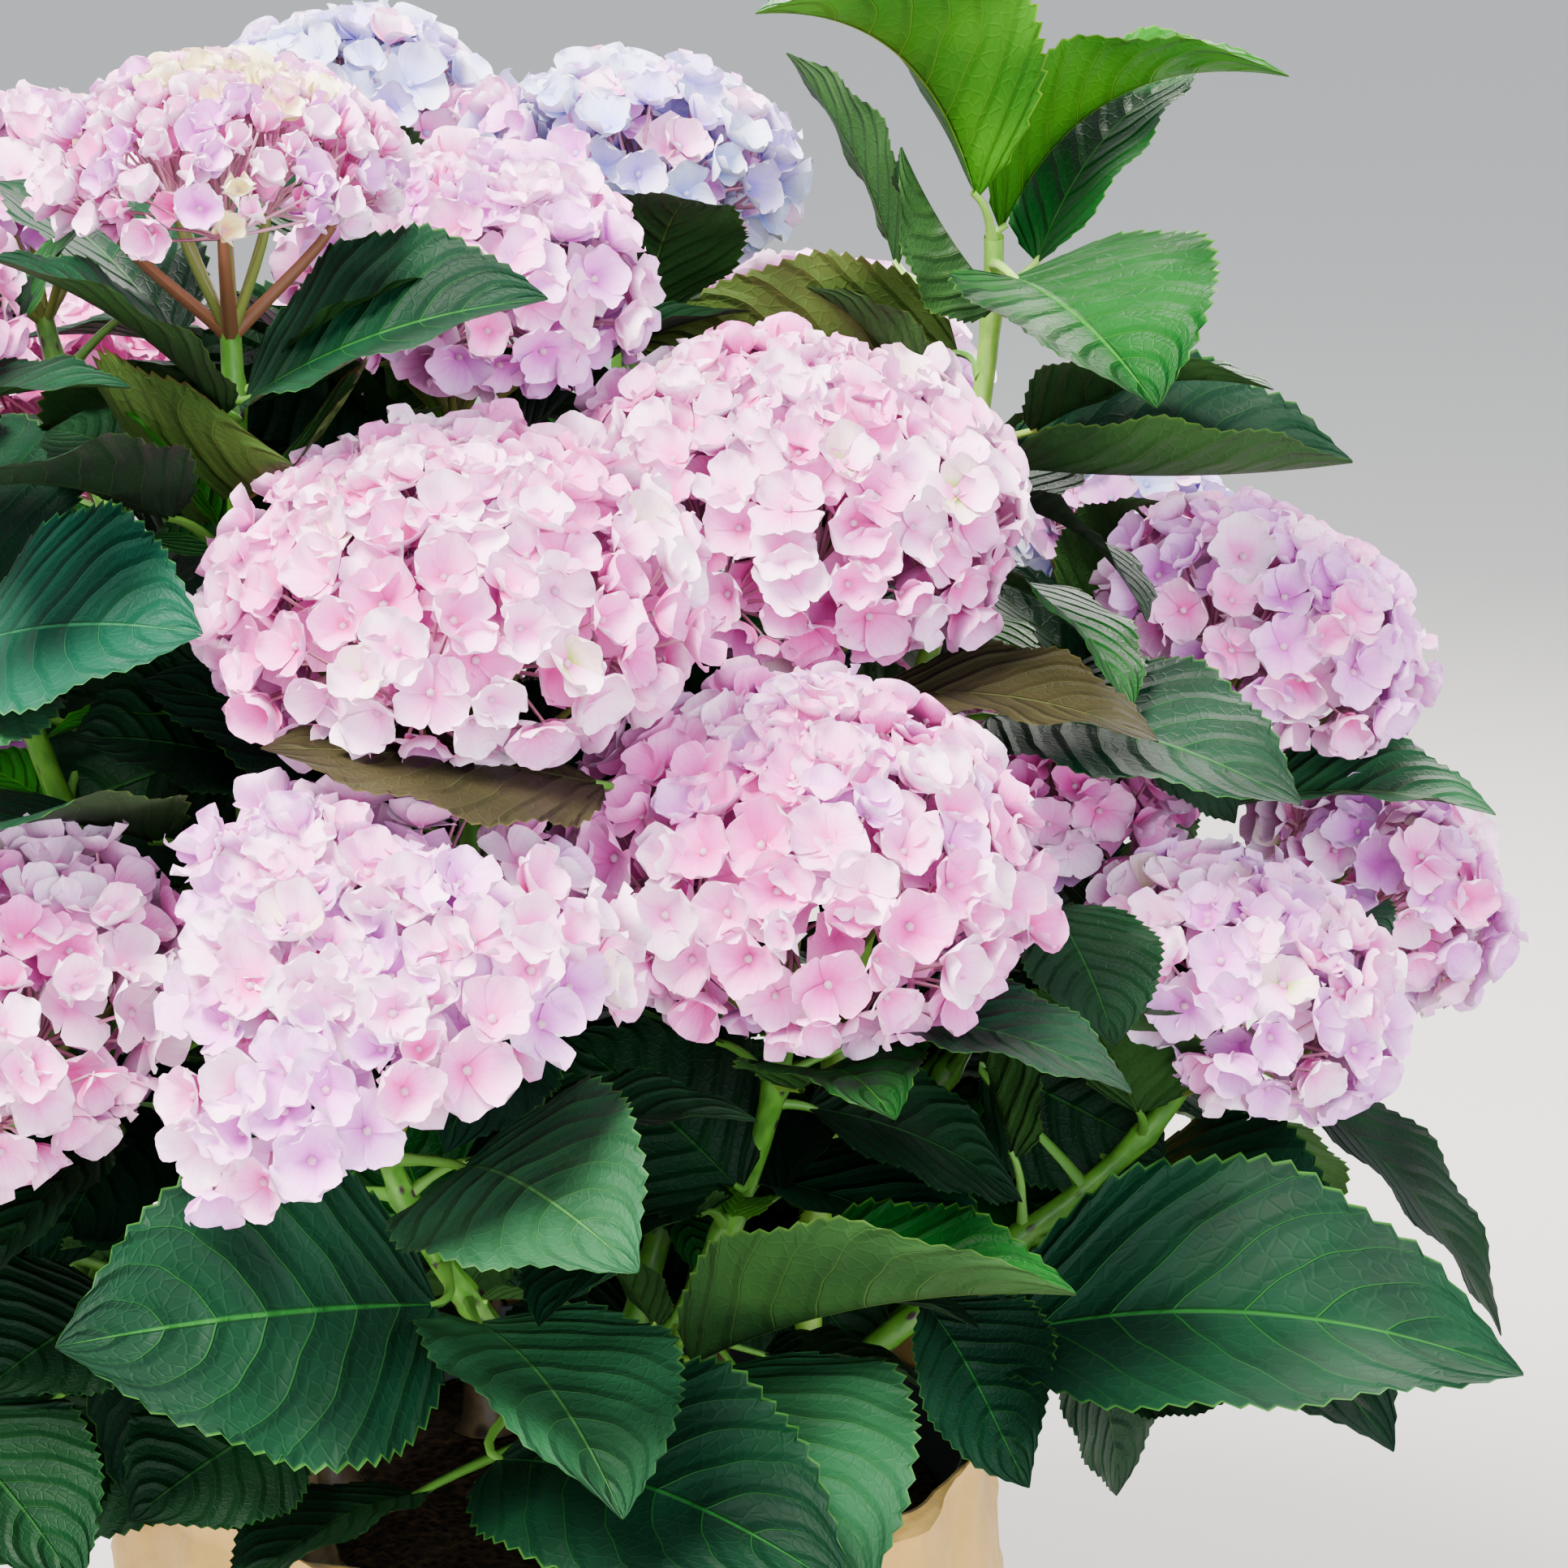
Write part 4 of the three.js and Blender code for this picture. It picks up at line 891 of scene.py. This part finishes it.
def buildCanes():
    piece = newPiece()
    for number, (turn, out) in enumerate(canes):
        mine = [s for s in shoots if s["cane"] == number]
        foot, crown = mine[0]["foot"], mine[0]["crown"]
        path = [foot + up * 2.5 * k for k in range(3)]
        path += [path[-1].lerp(crown, k / 8) for k in range(1, 9)] + [crown + up * 4, crown + up * 6]
        strands = [(path, caneRadii, 16)]
        for s in mine:
            bend = [crown + s["set"] * d for d in np.linspace(1.5, cane["fork"] + 2, len(forkRadii))]
            strands.append((bend, forkRadii, 12))
        for points, sizes, count in strands:
            co, quads, uv, cellAt = tubeAlong(points, sizes, count)
            co = roughBark(co, points)
            uv[:, 1] += number * 2.3
            addPart(piece, co, quads, uv, cellAt, 0)
    nodes = [f"cane_{k + 1}" for k in range(len(canes))]
    bark = stemMaterial("old hydrangea bark, peeling", "#8a7350", "#5f4a33", "#3f3022", 0.2)
    finishPiece(piece, "canes_bark", [bark], "stemMap", nodes, 0.5)


# Old bark has shallow ridges that run up the cane.
def roughBark(co, points):
    middle = np.array([tuple(p) for p in points])
    for i, p in enumerate(co):
        nearest = middle[np.argmin(((middle - p) ** 2).sum(1))]
        away = p - nearest
        size = np.linalg.norm(away)
        if size > 1:
            spot = Vector((p[0] * ridges["across"], p[1] * ridges["across"], p[2] * ridges["up"]))
            co[i] = p + away / size * noise.noise(spot) * ridges["deep"]
    return co


# flower heads
petalShape = {
    "along": (0.0, 0.2, 0.45, 0.7, 0.9, 1.0),
    "wide": (0.1, 0.53, 0.9, 1.0, 0.88, 0.62),
    "across": (-1.0, -0.5, 0.0, 0.5, 1.0),
}
# how the florets of each kind of head are coloured, as shares of the paints
headPaint = {
    "pink": (("pink", 0.48), ("pale", 0.28), ("rose", 0.18), ("lime", 0.06)),
    "rose": (("rose", 0.36), ("pink", 0.36), ("pale", 0.16), ("orchid", 0.12)),
    "orchid": (("orchid", 0.4), ("pink", 0.24), ("pale", 0.33), ("lime", 0.03)),
    "blush": (("pale", 0.5), ("pink", 0.34), ("rose", 0.1), ("lime", 0.06)),
    "young": (("pink", 0.34), ("rose", 0.22), ("cream", 0.44)),
    "sky": (("sky", 0.4), ("cream", 0.12), ("lilac", 0.18), ("pale", 0.3)),
    "lilac": (("lilac", 0.34), ("sky", 0.28), ("orchid", 0.22), ("pale", 0.16)),
}
# where two heads press together at the front left, one keeps back and the other leans over it
keepsBack = {3: {"left": -88, "low": 402, "from": -55, "slope": 0.42}}
leansOver = {4: (29, -42, 0)}
# and two leaves that lie among florets stay whole
pressed = {"rows": (5, 13), "heads": (1, 3, 4, 12, 16), "clear": 14.0}
pressedSpots = np.array([tuple(leafPoint(leaf, t / 12, side / 4)) for leaf in leaves
                         if leaf["row"] in pressed["rows"] for t in range(13) for side in range(-4, 5)])
# florets: their number on a head 160 mm wide, their size, and the outer and inner layer, each with its share
# of the number, its depth, its highest and lowest floret from 1 on top down to -1, and its scatter in depth
floretRule = {
    "open": {"count": 185, "size": 27.0,
             "layers": ((1.0, 0.95, 1.0, -0.52, 0.11), (0.36, 0.72, 0.95, -0.25, 0.1))},
    "young": {"count": 285, "size": 20.5,
              "layers": ((1.0, 0.89, 1.0, -0.22, 0.1), (0.35, 0.7, 0.95, -0.15, 0.1))},
}
goldenTurn = 2.39996  # radians from one floret to the next, so that they spread evenly
paints = list(petalPaint)


def isCrowded(s, place):
    if s["index"] in pressed["heads"]:
        if np.linalg.norm(pressedSpots - place, axis=1).min() < pressed["clear"]:
            return True
    if s["index"] not in keepsBack:
        return False
    rule = keepsBack[s["index"]]
    return place[0] < rule["left"] or place[2] < rule["low"] + (place[0] - rule["from"]) * rule["slope"]


def headCentre(s):
    return np.array(s["head"]) + np.array(leansOver.get(s["index"], (0, 0, 0)))


def floretPlaces(s, rng):
    wide, rule = s["wide"], floretRule[s["age"]]
    count = round(rule["count"] * (wide / 160) ** 2)
    a, b = (np.array(v) for v in sidesOf(s["facing"]))
    facing, middle = np.array(s["facing"]), headCentre(s)
    places = []
    for layer, (share, depth, top, lowest, spread) in enumerate(rule["layers"]):
        many = round(count * share)
        for k in range(many):
            height = mix(top, lowest, (k + 0.5) / many)
            angle = math.acos(height)
            turn = k * goldenTurn + s["index"] + rng.normal(0, 0.055)
            ahead, aside = facing * height, (a * math.cos(turn) + b * math.sin(turn)) * math.sin(angle)
            way = ahead + aside
            lumps = 1 + 0.05 * noise.noise(Vector(way * 2.6) + Vector((s["index"] * 7.0, 0, 0)))
            place = middle + way * headReach(wide, angle) * (depth - spread * rng.random()) * lumps
            tall = wide * (head["rise"] if height > 0 else head["fall"])
            flat = ahead / tall ** 2 + aside / (wide / 2) ** 2
            flat /= np.linalg.norm(flat)
            normal = flat * 0.9 + way * 0.4 + facing * 0.12 + rng.normal(0, 0.24, 3)
            if s["age"] == "young":
                normal = facing * 0.35 + way * 0.9 + rng.normal(0, 0.2, 3)
            if not isCrowded(s, place):
                places.append((place, normal / np.linalg.norm(normal), height, layer))
    return places


def petalTemplate(keepRows, keepColumns):
    along = [petalShape["along"][k] for k in keepRows]
    across = [petalShape["across"][k] for k in keepColumns]
    v, u = np.meshgrid(along, across, indexing="ij")
    width = np.repeat([petalShape["wide"][k] for k in keepRows], len(across))
    v, u = v.ravel(), u.ravel()
    x = v - 0.21 * u ** 2 * v ** 3
    y = 0.5 * width * u
    return x, y, u, v, gridFaces(len(along) - 1, len(across) - 1), np.stack([u * 0.5 + 0.5, v], 1)


# One floret: four sepals of its paint, each with its own length, cup and turn.
def addFloret(piece, petal, s, rng, place, normal, height, layer):
    young = s["age"] == "young"
    size = floretRule[s["age"]]["size"] * rng.uniform(0.86, 1.08) * (0.9 if s["wide"] < 110 else 1)
    names, shares = zip(*headPaint[s["kind"]])
    paint = rng.choice(names, p=np.array(shares) / sum(shares))
    if young:  # the cream ones are on its top
        isTop = rng.random() < (0.8 if height > 0.7 else 0.05)
        paint = "cream" if isTop else rng.choice(["pink", "pale", "pale", "orchid"])
    # the inner layer of pink, rose and young heads is all rose: painted shade, the deeper pink in the gaps
    # between florets
    if layer and s["kind"] in ("pink", "rose", "young"):
        paint = "rose"
    x, y, u, v, faces, uv = petal
    a, b = (np.array(w) for w in sidesOf(Vector(normal)))
    spin = rng.uniform(0, 2 * math.pi)
    cup = rng.uniform(0.62, 0.95) if young else rng.choice([rng.uniform(0.08, 0.4), rng.uniform(0.35, 0.8)])
    for k in range(4):
        long = size * 0.5 * rng.uniform(0.9, 1.12) * (1.05 if k % 2 else 0.98)
        broad = long * rng.uniform(1.0, 1.18)
        lift = cup + rng.normal(0, 0.12)
        cupAlong, cupAcross = rng.uniform(0.08, 0.34), rng.uniform(0.15, 0.42)
        if rng.random() < 0.18 and not young:
            cupAlong = -rng.uniform(0.05, 0.25)
        px, py = x * long, y * broad
        pz = cupAlong * v ** 2 * long + cupAcross * u ** 2 * broad * 0.5 * v
        pz = pz + (0.5 if k % 2 else 0.0) + rng.normal(0, 0.03) * long * u * v
        px, pz = (px * math.cos(lift) - pz * math.sin(lift), px * math.sin(lift) + pz * math.cos(lift))
        turn = spin + k * math.pi / 2 + rng.normal(0, 0.09)
        across, ahead = a * math.cos(turn) + b * math.sin(turn), b * math.cos(turn) - a * math.sin(turn)
        co = place + np.outer(px, across) + np.outer(py, ahead) + np.outer(pz, normal)
        own = "pale" if paint == "lime" and k % 2 else paint
        addPart(piece, co, faces, uv, uv, paints.index(own))
    return size


def buildBlossom():
    petals = petalTemplate(range(6), range(5)), petalTemplate((0, 2, 3, 5), (0, 2, 4))  # fine and coarse
    materials = [petalMaterial(f"hydrangea sepal, {paint}", petalPaint[paint]) for paint in paints]
    beads, stalks = newPiece(), newPiece()
    bpy.ops.mesh.primitive_ico_sphere_add(subdivisions=1, radius=1)
    ball = bpy.context.object
    ballCo = np.array([tuple(p.co) for p in ball.data.vertices])
    ballTris = np.array([tuple(p.vertices) for p in ball.data.polygons])
    bpy.data.objects.remove(ball)
    noQuads = np.zeros((0, 4), int)
    for number in range(len(canes)):
        piece = newPiece()
        mine = [s for s in shoots if s["cane"] == number and s["wide"]]
        for s in mine:
            rng = np.random.default_rng(4100 + s["index"])
            crowns = []
            for place, normal, height, layer in floretPlaces(s, rng):
                size = addFloret(piece, petals[layer], s, rng, place, normal, height, layer)
                if layer:
                    continue
                bead = 1.3 if s["age"] == "young" else 1.6 * size / floretRule["open"]["size"]
                beadCo = place + (normal * 0.7 + ballCo) * bead
                blueGrey = 1 if s["kind"] in ("sky", "lilac") else 0
                addPart(beads, beadCo, noQuads, ballCo[:, :2], ballCo[:, :2], blueGrey, ballTris)
                crowns.append((place, normal))
            buildStalks(stalks, s, crowns)
        nodes = [s["headNode"] for s in mine]
        finishPiece(piece, f"blossom_{number + 1}", materials, "petalMap", nodes)
    finishPiece(beads, "blossom_beads", [plainMaterial("closed floret bead, pink grey", "#c79ab4", 0.5),
                                         plainMaterial("closed floret bead, blue grey", "#a9a6cf", 0.5)],
                "petalMap", (), baked=False)
    finishPiece(stalks, "blossom_stalks", [plainMaterial("pedicel skin, pink", "#c98ba2", 0.5),
                                           plainMaterial("flower branch skin, green", "#74803a", 0.5),
                                           plainMaterial("flower branch skin, russet", "#7c5036", 0.5)],
                "stemMap", (), baked=False)


# A short main stalk parts into branches that each end under some florets, and each floret has its pedicel.
def buildStalks(stalks, s, crowns):
    a, b = (np.array(w) for w in sidesOf(s["facing"]))
    joint, centre, facing = np.array(s["join"]), headCentre(s), np.array(s["facing"])
    wide, young = s["wide"], s["age"] == "young"
    forks = 9
    ends = []
    for k in range(forks):
        turn = k * 2 * math.pi / (forks - 1) + s["index"]
        out = wide * (0.04 if k == forks - 1 else 0.17 if k % 2 else 0.3)
        drop = wide * (0.03 if young else 0.04) + out * 0.22
        side = a * math.cos(turn) + b * math.sin(turn)
        end = centre - facing * drop + side * out
        if isCrowded(s, end):
            continue
        start = joint - facing * 2
        bend = [start + side * 0.6, start + (end - start) * 0.4 + side * 1.5, end - facing * wide * 0.06, end]
        points = [bezier(bend, i / 6) for i in range(7)]
        thick = 2.7 if young and k % 2 == 0 else 1.7
        skin = 2 if young and k % 2 == 0 and k != forks - 1 else 1
        addPart(stalks, *tubeAlong(points, [thick * mix(1, 0.6, i / 6) for i in range(7)], 6), skin)
        ends.append(end)
    ends = np.array(ends)
    thin = 0.8 if young else 1.0
    for place, normal in crowns:
        start = ends[np.argmin(((ends - place) ** 2).sum(1))]
        points = [start, (start + place) / 2 - normal * 2, place - normal * 0.4]
        addPart(stalks, *tubeAlong(points, [thin, thin * 0.75, thin * 0.65], 3), 0)


# pot, soil and paper
def buildPot():
    foot, rim, tall, wall, lip = (pot[k] for k in ("foot", "rim", "tall", "wall", "lip"))
    under = rim - 5
    profile = [(0.01, 4), (foot - wall - 2, 5), (foot - wall + 0.5, 7), (under - wall, tall - lip - 2),
               (rim - wall, tall - 0.6), (rim - wall + 0.8, tall), (rim - 0.8, tall), (rim, tall - 0.8),
               (rim, tall - lip + 3), (rim - 1.2, tall - lip + 1.4), (under, tall - lip), (foot + 1, 6),
               (foot - 0.5, 1.5), (foot - 3, 0), (foot - 12, 0), (foot - 14, 1.6), (0.01, 1.6)]
    data = bpy.data.meshes.new("potProfile")
    edges = [(k, k + 1) for k in range(len(profile) - 1)]
    data.from_pydata([(r * mm, 0, z * mm) for r, z in profile], edges, [])
    shell = bpy.data.objects.new("plastic_pot", data)
    bpy.context.scene.collection.objects.link(shell)
    bpy.ops.object.select_all(action="DESELECT")
    bpy.context.view_layer.objects.active = shell
    shell.select_set(True)
    bpy.ops.object.mode_set(mode="EDIT")
    bpy.ops.mesh.select_all(action="SELECT")
    bpy.ops.mesh.spin(steps=96, angle=2 * math.pi, center=(0, 0, 0), axis=(0, 0, 1))
    bpy.ops.mesh.select_all(action="SELECT")
    bpy.ops.mesh.remove_doubles(threshold=0.00002)
    bpy.ops.mesh.normals_make_consistent(inside=False)
    bpy.ops.object.mode_set(mode="OBJECT")
    bpy.ops.object.shade_smooth_by_angle(angle=rad(32))
    # blow-moulded polypropylene: dull dark grey, with faint scuffs about 30 mm wide and a 1 mm grain
    made, add, shader = newMaterial("polypropylene pot", 0.48, 0.45)
    place = add("TexCoord").outputs["Object"]
    cloud = add("TexNoise", {"Vector": place, "Scale": 30.0, "Detail": 5.0})
    colour = add("Mix", {0: cloud, 6: linear("#34383b"), 7: linear("#474c50")}, **colours)
    grain = add("TexNoise", {"Vector": place, "Scale": 900.0})
    bump = add("Bump", {"Strength": 0.25, "Distance": 0.0003, "Height": grain})
    plug(shader, {"Base Color": colour, "Normal": bump})
    shell.data.materials.append(made)
    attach(shell, "root")
    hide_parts("pot")


# the soil's lumps: how high, how close together, and where they are cut from the noise
soilLumps = ((2.6, 0.03, 1), (1.9, 0.16, 5), (1.1, 0.5, 9))


# Peat and bark mix: crumbs about 4 mm wide, dark and damp.
def buildSoil():
    # its edge follows the pot's tapering inner wall
    share = (soilTop - 7) / (pot["tall"] - pot["lip"] - 2 - 7)
    foot, rim = pot["foot"] - pot["wall"] + 0.5 - gap * 2, pot["rim"] - 5 - pot["wall"] - gap * 2
    edge = mix(foot, rim, share) - 0.6
    piece = newPiece()
    rings, count = 46, 128
    circle = np.linspace(0, 2 * np.pi, count + 1)
    r, turn = np.meshgrid(np.linspace(0.004, 1, rings + 1) * edge, circle, indexing="ij")
    r, turn = r.ravel(), turn.ravel()
    x, y = r * np.cos(turn), r * np.sin(turn)
    lumps = [sum(high * noise.noise(Vector((a * close, b * close, cut))) for high, close, cut in soilLumps)
             for a, b in zip(x, y)]
    z = np.minimum(soilTop - 1.5 + np.array(lumps), soilTop + 1.2)
    uv = np.stack([x / 300 + 0.5, y / 300 + 0.5], 1)
    addPart(piece, np.stack([x, y, z], 1), gridFaces(rings, count), uv, uv, 0, flip=True)
    low = 7.6  # the soil's underside, on the pot's floor
    wallCo = []
    for radius, level in ((edge, soilTop - 3), (108, low), (0.4, low)):
        height = np.full(count + 1, level)
        wallCo.append(np.stack([radius * np.cos(circle), radius * np.sin(circle), height], 1))
    wallUv = np.stack([np.tile(np.linspace(0, 0.05, count + 1), 3), np.repeat([0, 0.5, 1.0], count + 1)], 1)
    addPart(piece, np.concatenate(wallCo), gridFaces(2, count), wallUv, wallUv, 0, flip=True)
    made, add, shader = newMaterial("peat and bark mix", 0.92, 0.25)
    place = add("TexCoord").outputs["Object"]
    crumbs = add("TexVoronoi", {"Vector": place, "Scale": 260.0})
    cloud = add("TexNoise", {"Vector": place, "Scale": 90.0, "Detail": 6.0})
    tone = add("Math", {0: crumbs, 1: cloud}, operation="MULTIPLY")
    ramp = add("MapRange", {0: tone, 1: 0.05, 2: 0.42, 3: 0.0, 4: 1.0})
    colour = add("Mix", {0: ramp, 6: linear("#1e1611"), 7: linear("#5a4330")}, **colours)
    bump = add("Bump", {"Strength": 0.9, "Distance": 0.002, "Height": crumbs})
    plug(shader, {"Base Color": colour, "Normal": bump})
    finishPiece(piece, "soil", [made], "soilMap", ["potting_soil"], baked=False)


# radii at the foot, waist and rim and how high they are, the corners (turn, distance out, height),
# and the creases (depth, how close together, where they are cut from the noise)
paper = {
    "foot": 133, "waist": 157, "waistAt": 160, "rim": 149.6, "rimAt": 220, "top": 226, "thick": 1.4,
    "lipFrom": 190, "corners": ((16, 90, 130), (112, 66, 84), (158, 52, 60)),
    "creases": ((2.6, 0.024, 3), (2.0, 0.06, 11), (0.8, 0.15, 29)),
}


def paperWall(turn, z):
    waistAt = paper["waistAt"]
    lower = mix(paper["foot"], paper["waist"], (np.clip(z, 0, waistAt) / waistAt) ** 0.7)
    upper = mix(paper["waist"], paper["rim"], (z - waistAt) / (paper["rimAt"] - waistAt))
    bulge = np.where(z < waistAt, lower, upper)
    pleat = 1.8 * np.sin(17 * turn + 1.3 * np.sin(3 * turn)) + 1.2 * np.sin(7 * turn + 2)
    clearOfPot = np.where(z > paper["lipFrom"], pot["rim"] + paper["thick"] + 0.62, 0)
    return np.maximum(bulge + pleat, clearOfPot)


def paperEdge(turn):
    rise = 4 * np.sin(5 * turn + 1) + 3 * np.sin(11 * turn)
    out = 3 + 3 * np.sin(6 * turn)
    for at, far, tall in paper["corners"]:
        off = np.abs(np.arctan2(np.sin(turn - rad(at)), np.cos(turn - rad(at))))
        share = np.maximum(0, 1 - off / rad(34))
        rise = rise + tall * share ** 1.1
        out = out + far * share ** 1.5
    return rise, out


def crease(p, close, cut):
    return 1 - 2 * abs(noise.noise(Vector((p[0] * close + cut, p[1] * close, p[2] * close * 0.6))))


def buildPaper():
    count, rows, lipRows = 192, 36, 16
    turns = np.linspace(0, 2 * np.pi, count + 1)
    wallLevels, lipShares = np.linspace(0.8, paper["top"], rows + 1), np.linspace(0, 1, lipRows + 1)[1:]
    levels = np.concatenate([wallLevels, np.full(lipRows, paper["top"])])
    shares = np.concatenate([np.zeros(rows + 1), lipShares])
    turn, z = (grid.ravel() for grid in np.meshgrid(turns, levels))
    share = np.repeat(shares, count + 1)  # how far along the lip that folds out
    rise, out = paperEdge(turn)
    r = paperWall(turn, z) + share ** 0.4 + out * share ** 1.4
    z = z + rise * share
    co = np.stack([r * np.cos(turn), r * np.sin(turn), z], 1)
    around = np.stack([np.cos(turn), np.sin(turn), np.zeros_like(turn)], 1)
    fold = np.array([sum(deep * crease(p, close, cut) for deep, close, cut in paper["creases"]) for p in co])
    nearFoot = np.clip(co[:, 2] / 14, 0, 1)
    inside = np.clip((r - pot["rim"] - 2.2) / 3, 0, 1)
    co = co + around * ((fold - 1.8) * nearFoot * np.maximum(inside, 0.15))[:, None]
    piece = newPiece()
    length = np.concatenate([np.linspace(0, 0.72, rows + 1), np.linspace(0.72, 1, lipRows + 1)[1:]])
    uv = np.stack([turn / (2 * np.pi), np.repeat(length, count + 1)], 1)
    faces = gridFaces(len(levels) - 1, count)
    addPart(piece, co, faces, uv, uv, 0)
    inner = co - around * paper["thick"] / 2
    addPart(piece, inner, faces, uv, uv, 0, flip=True)
    last = len(levels) - 1
    rim = np.concatenate([co[last * (count + 1):], inner[last * (count + 1):]])
    rimUv = np.tile(uv[last * (count + 1):], (2, 1))
    rimUv[:count + 1, 1], rimUv[count + 1:, 1] = 0.0, 0.01
    addPart(piece, rim, gridFaces(1, count), rimUv, rimUv, 0)
    foot = np.concatenate([inner[:count + 1], co[:count + 1]])
    addPart(piece, foot, gridFaces(1, count), rimUv, rimUv, 0)
    # brown kraft: long fibres drawn 1.6 mm wide so that they show, a faint sheen, clouds about 40 mm wide
    # that are both its tone and its soft bulges, partly the kraft's own mottling and partly painted highlight
    # and shade
    made, add, shader = newMaterial("brown kraft paper", 0.66, 0.35, Sheen_Weight=0.1)
    place = add("TexCoord").outputs["Object"]
    fibres = add("Mapping", {0: place, 3: (1.0, 1.0, 0.18)})
    strands = add("TexNoise", {"Vector": fibres, "Scale": 620.0, "Detail": 3.0})
    cloud = add("TexNoise", {"Vector": place, "Scale": 24.0, "Detail": 4.0})
    tone = add("MapRange", {0: cloud, 1: 0.3, 2: 0.7, 3: 0.0, 4: 1.0})
    # paler where the soft bump rises and darker in its hollows: painted highlight and shade over the paper's
    # own tone
    base = add("Mix", {0: tone, 6: linear("#a57a34"), 7: linear("#dab05e")}, **colours)
    woven = add("Mix", {0: strands, 6: base, 7: linear("#c99e4a")}, **colours)
    bump = add("Bump", {"Strength": 0.4, "Distance": 0.0005, "Height": strands})
    soft = add("Bump", {"Strength": 0.9, "Distance": 0.005, "Height": cloud, "Normal": bump})
    plug(shader, {"Base Color": woven, "Normal": soft})
    finishPiece(piece, "kraft_paper", [made], "paperMap", ["paper_wrap"], 2.5)


buildPot()
buildSoil()
buildPaper()
buildCanes()
buildStems()
buildFoliage()
buildBlossom()
say("shrub built")
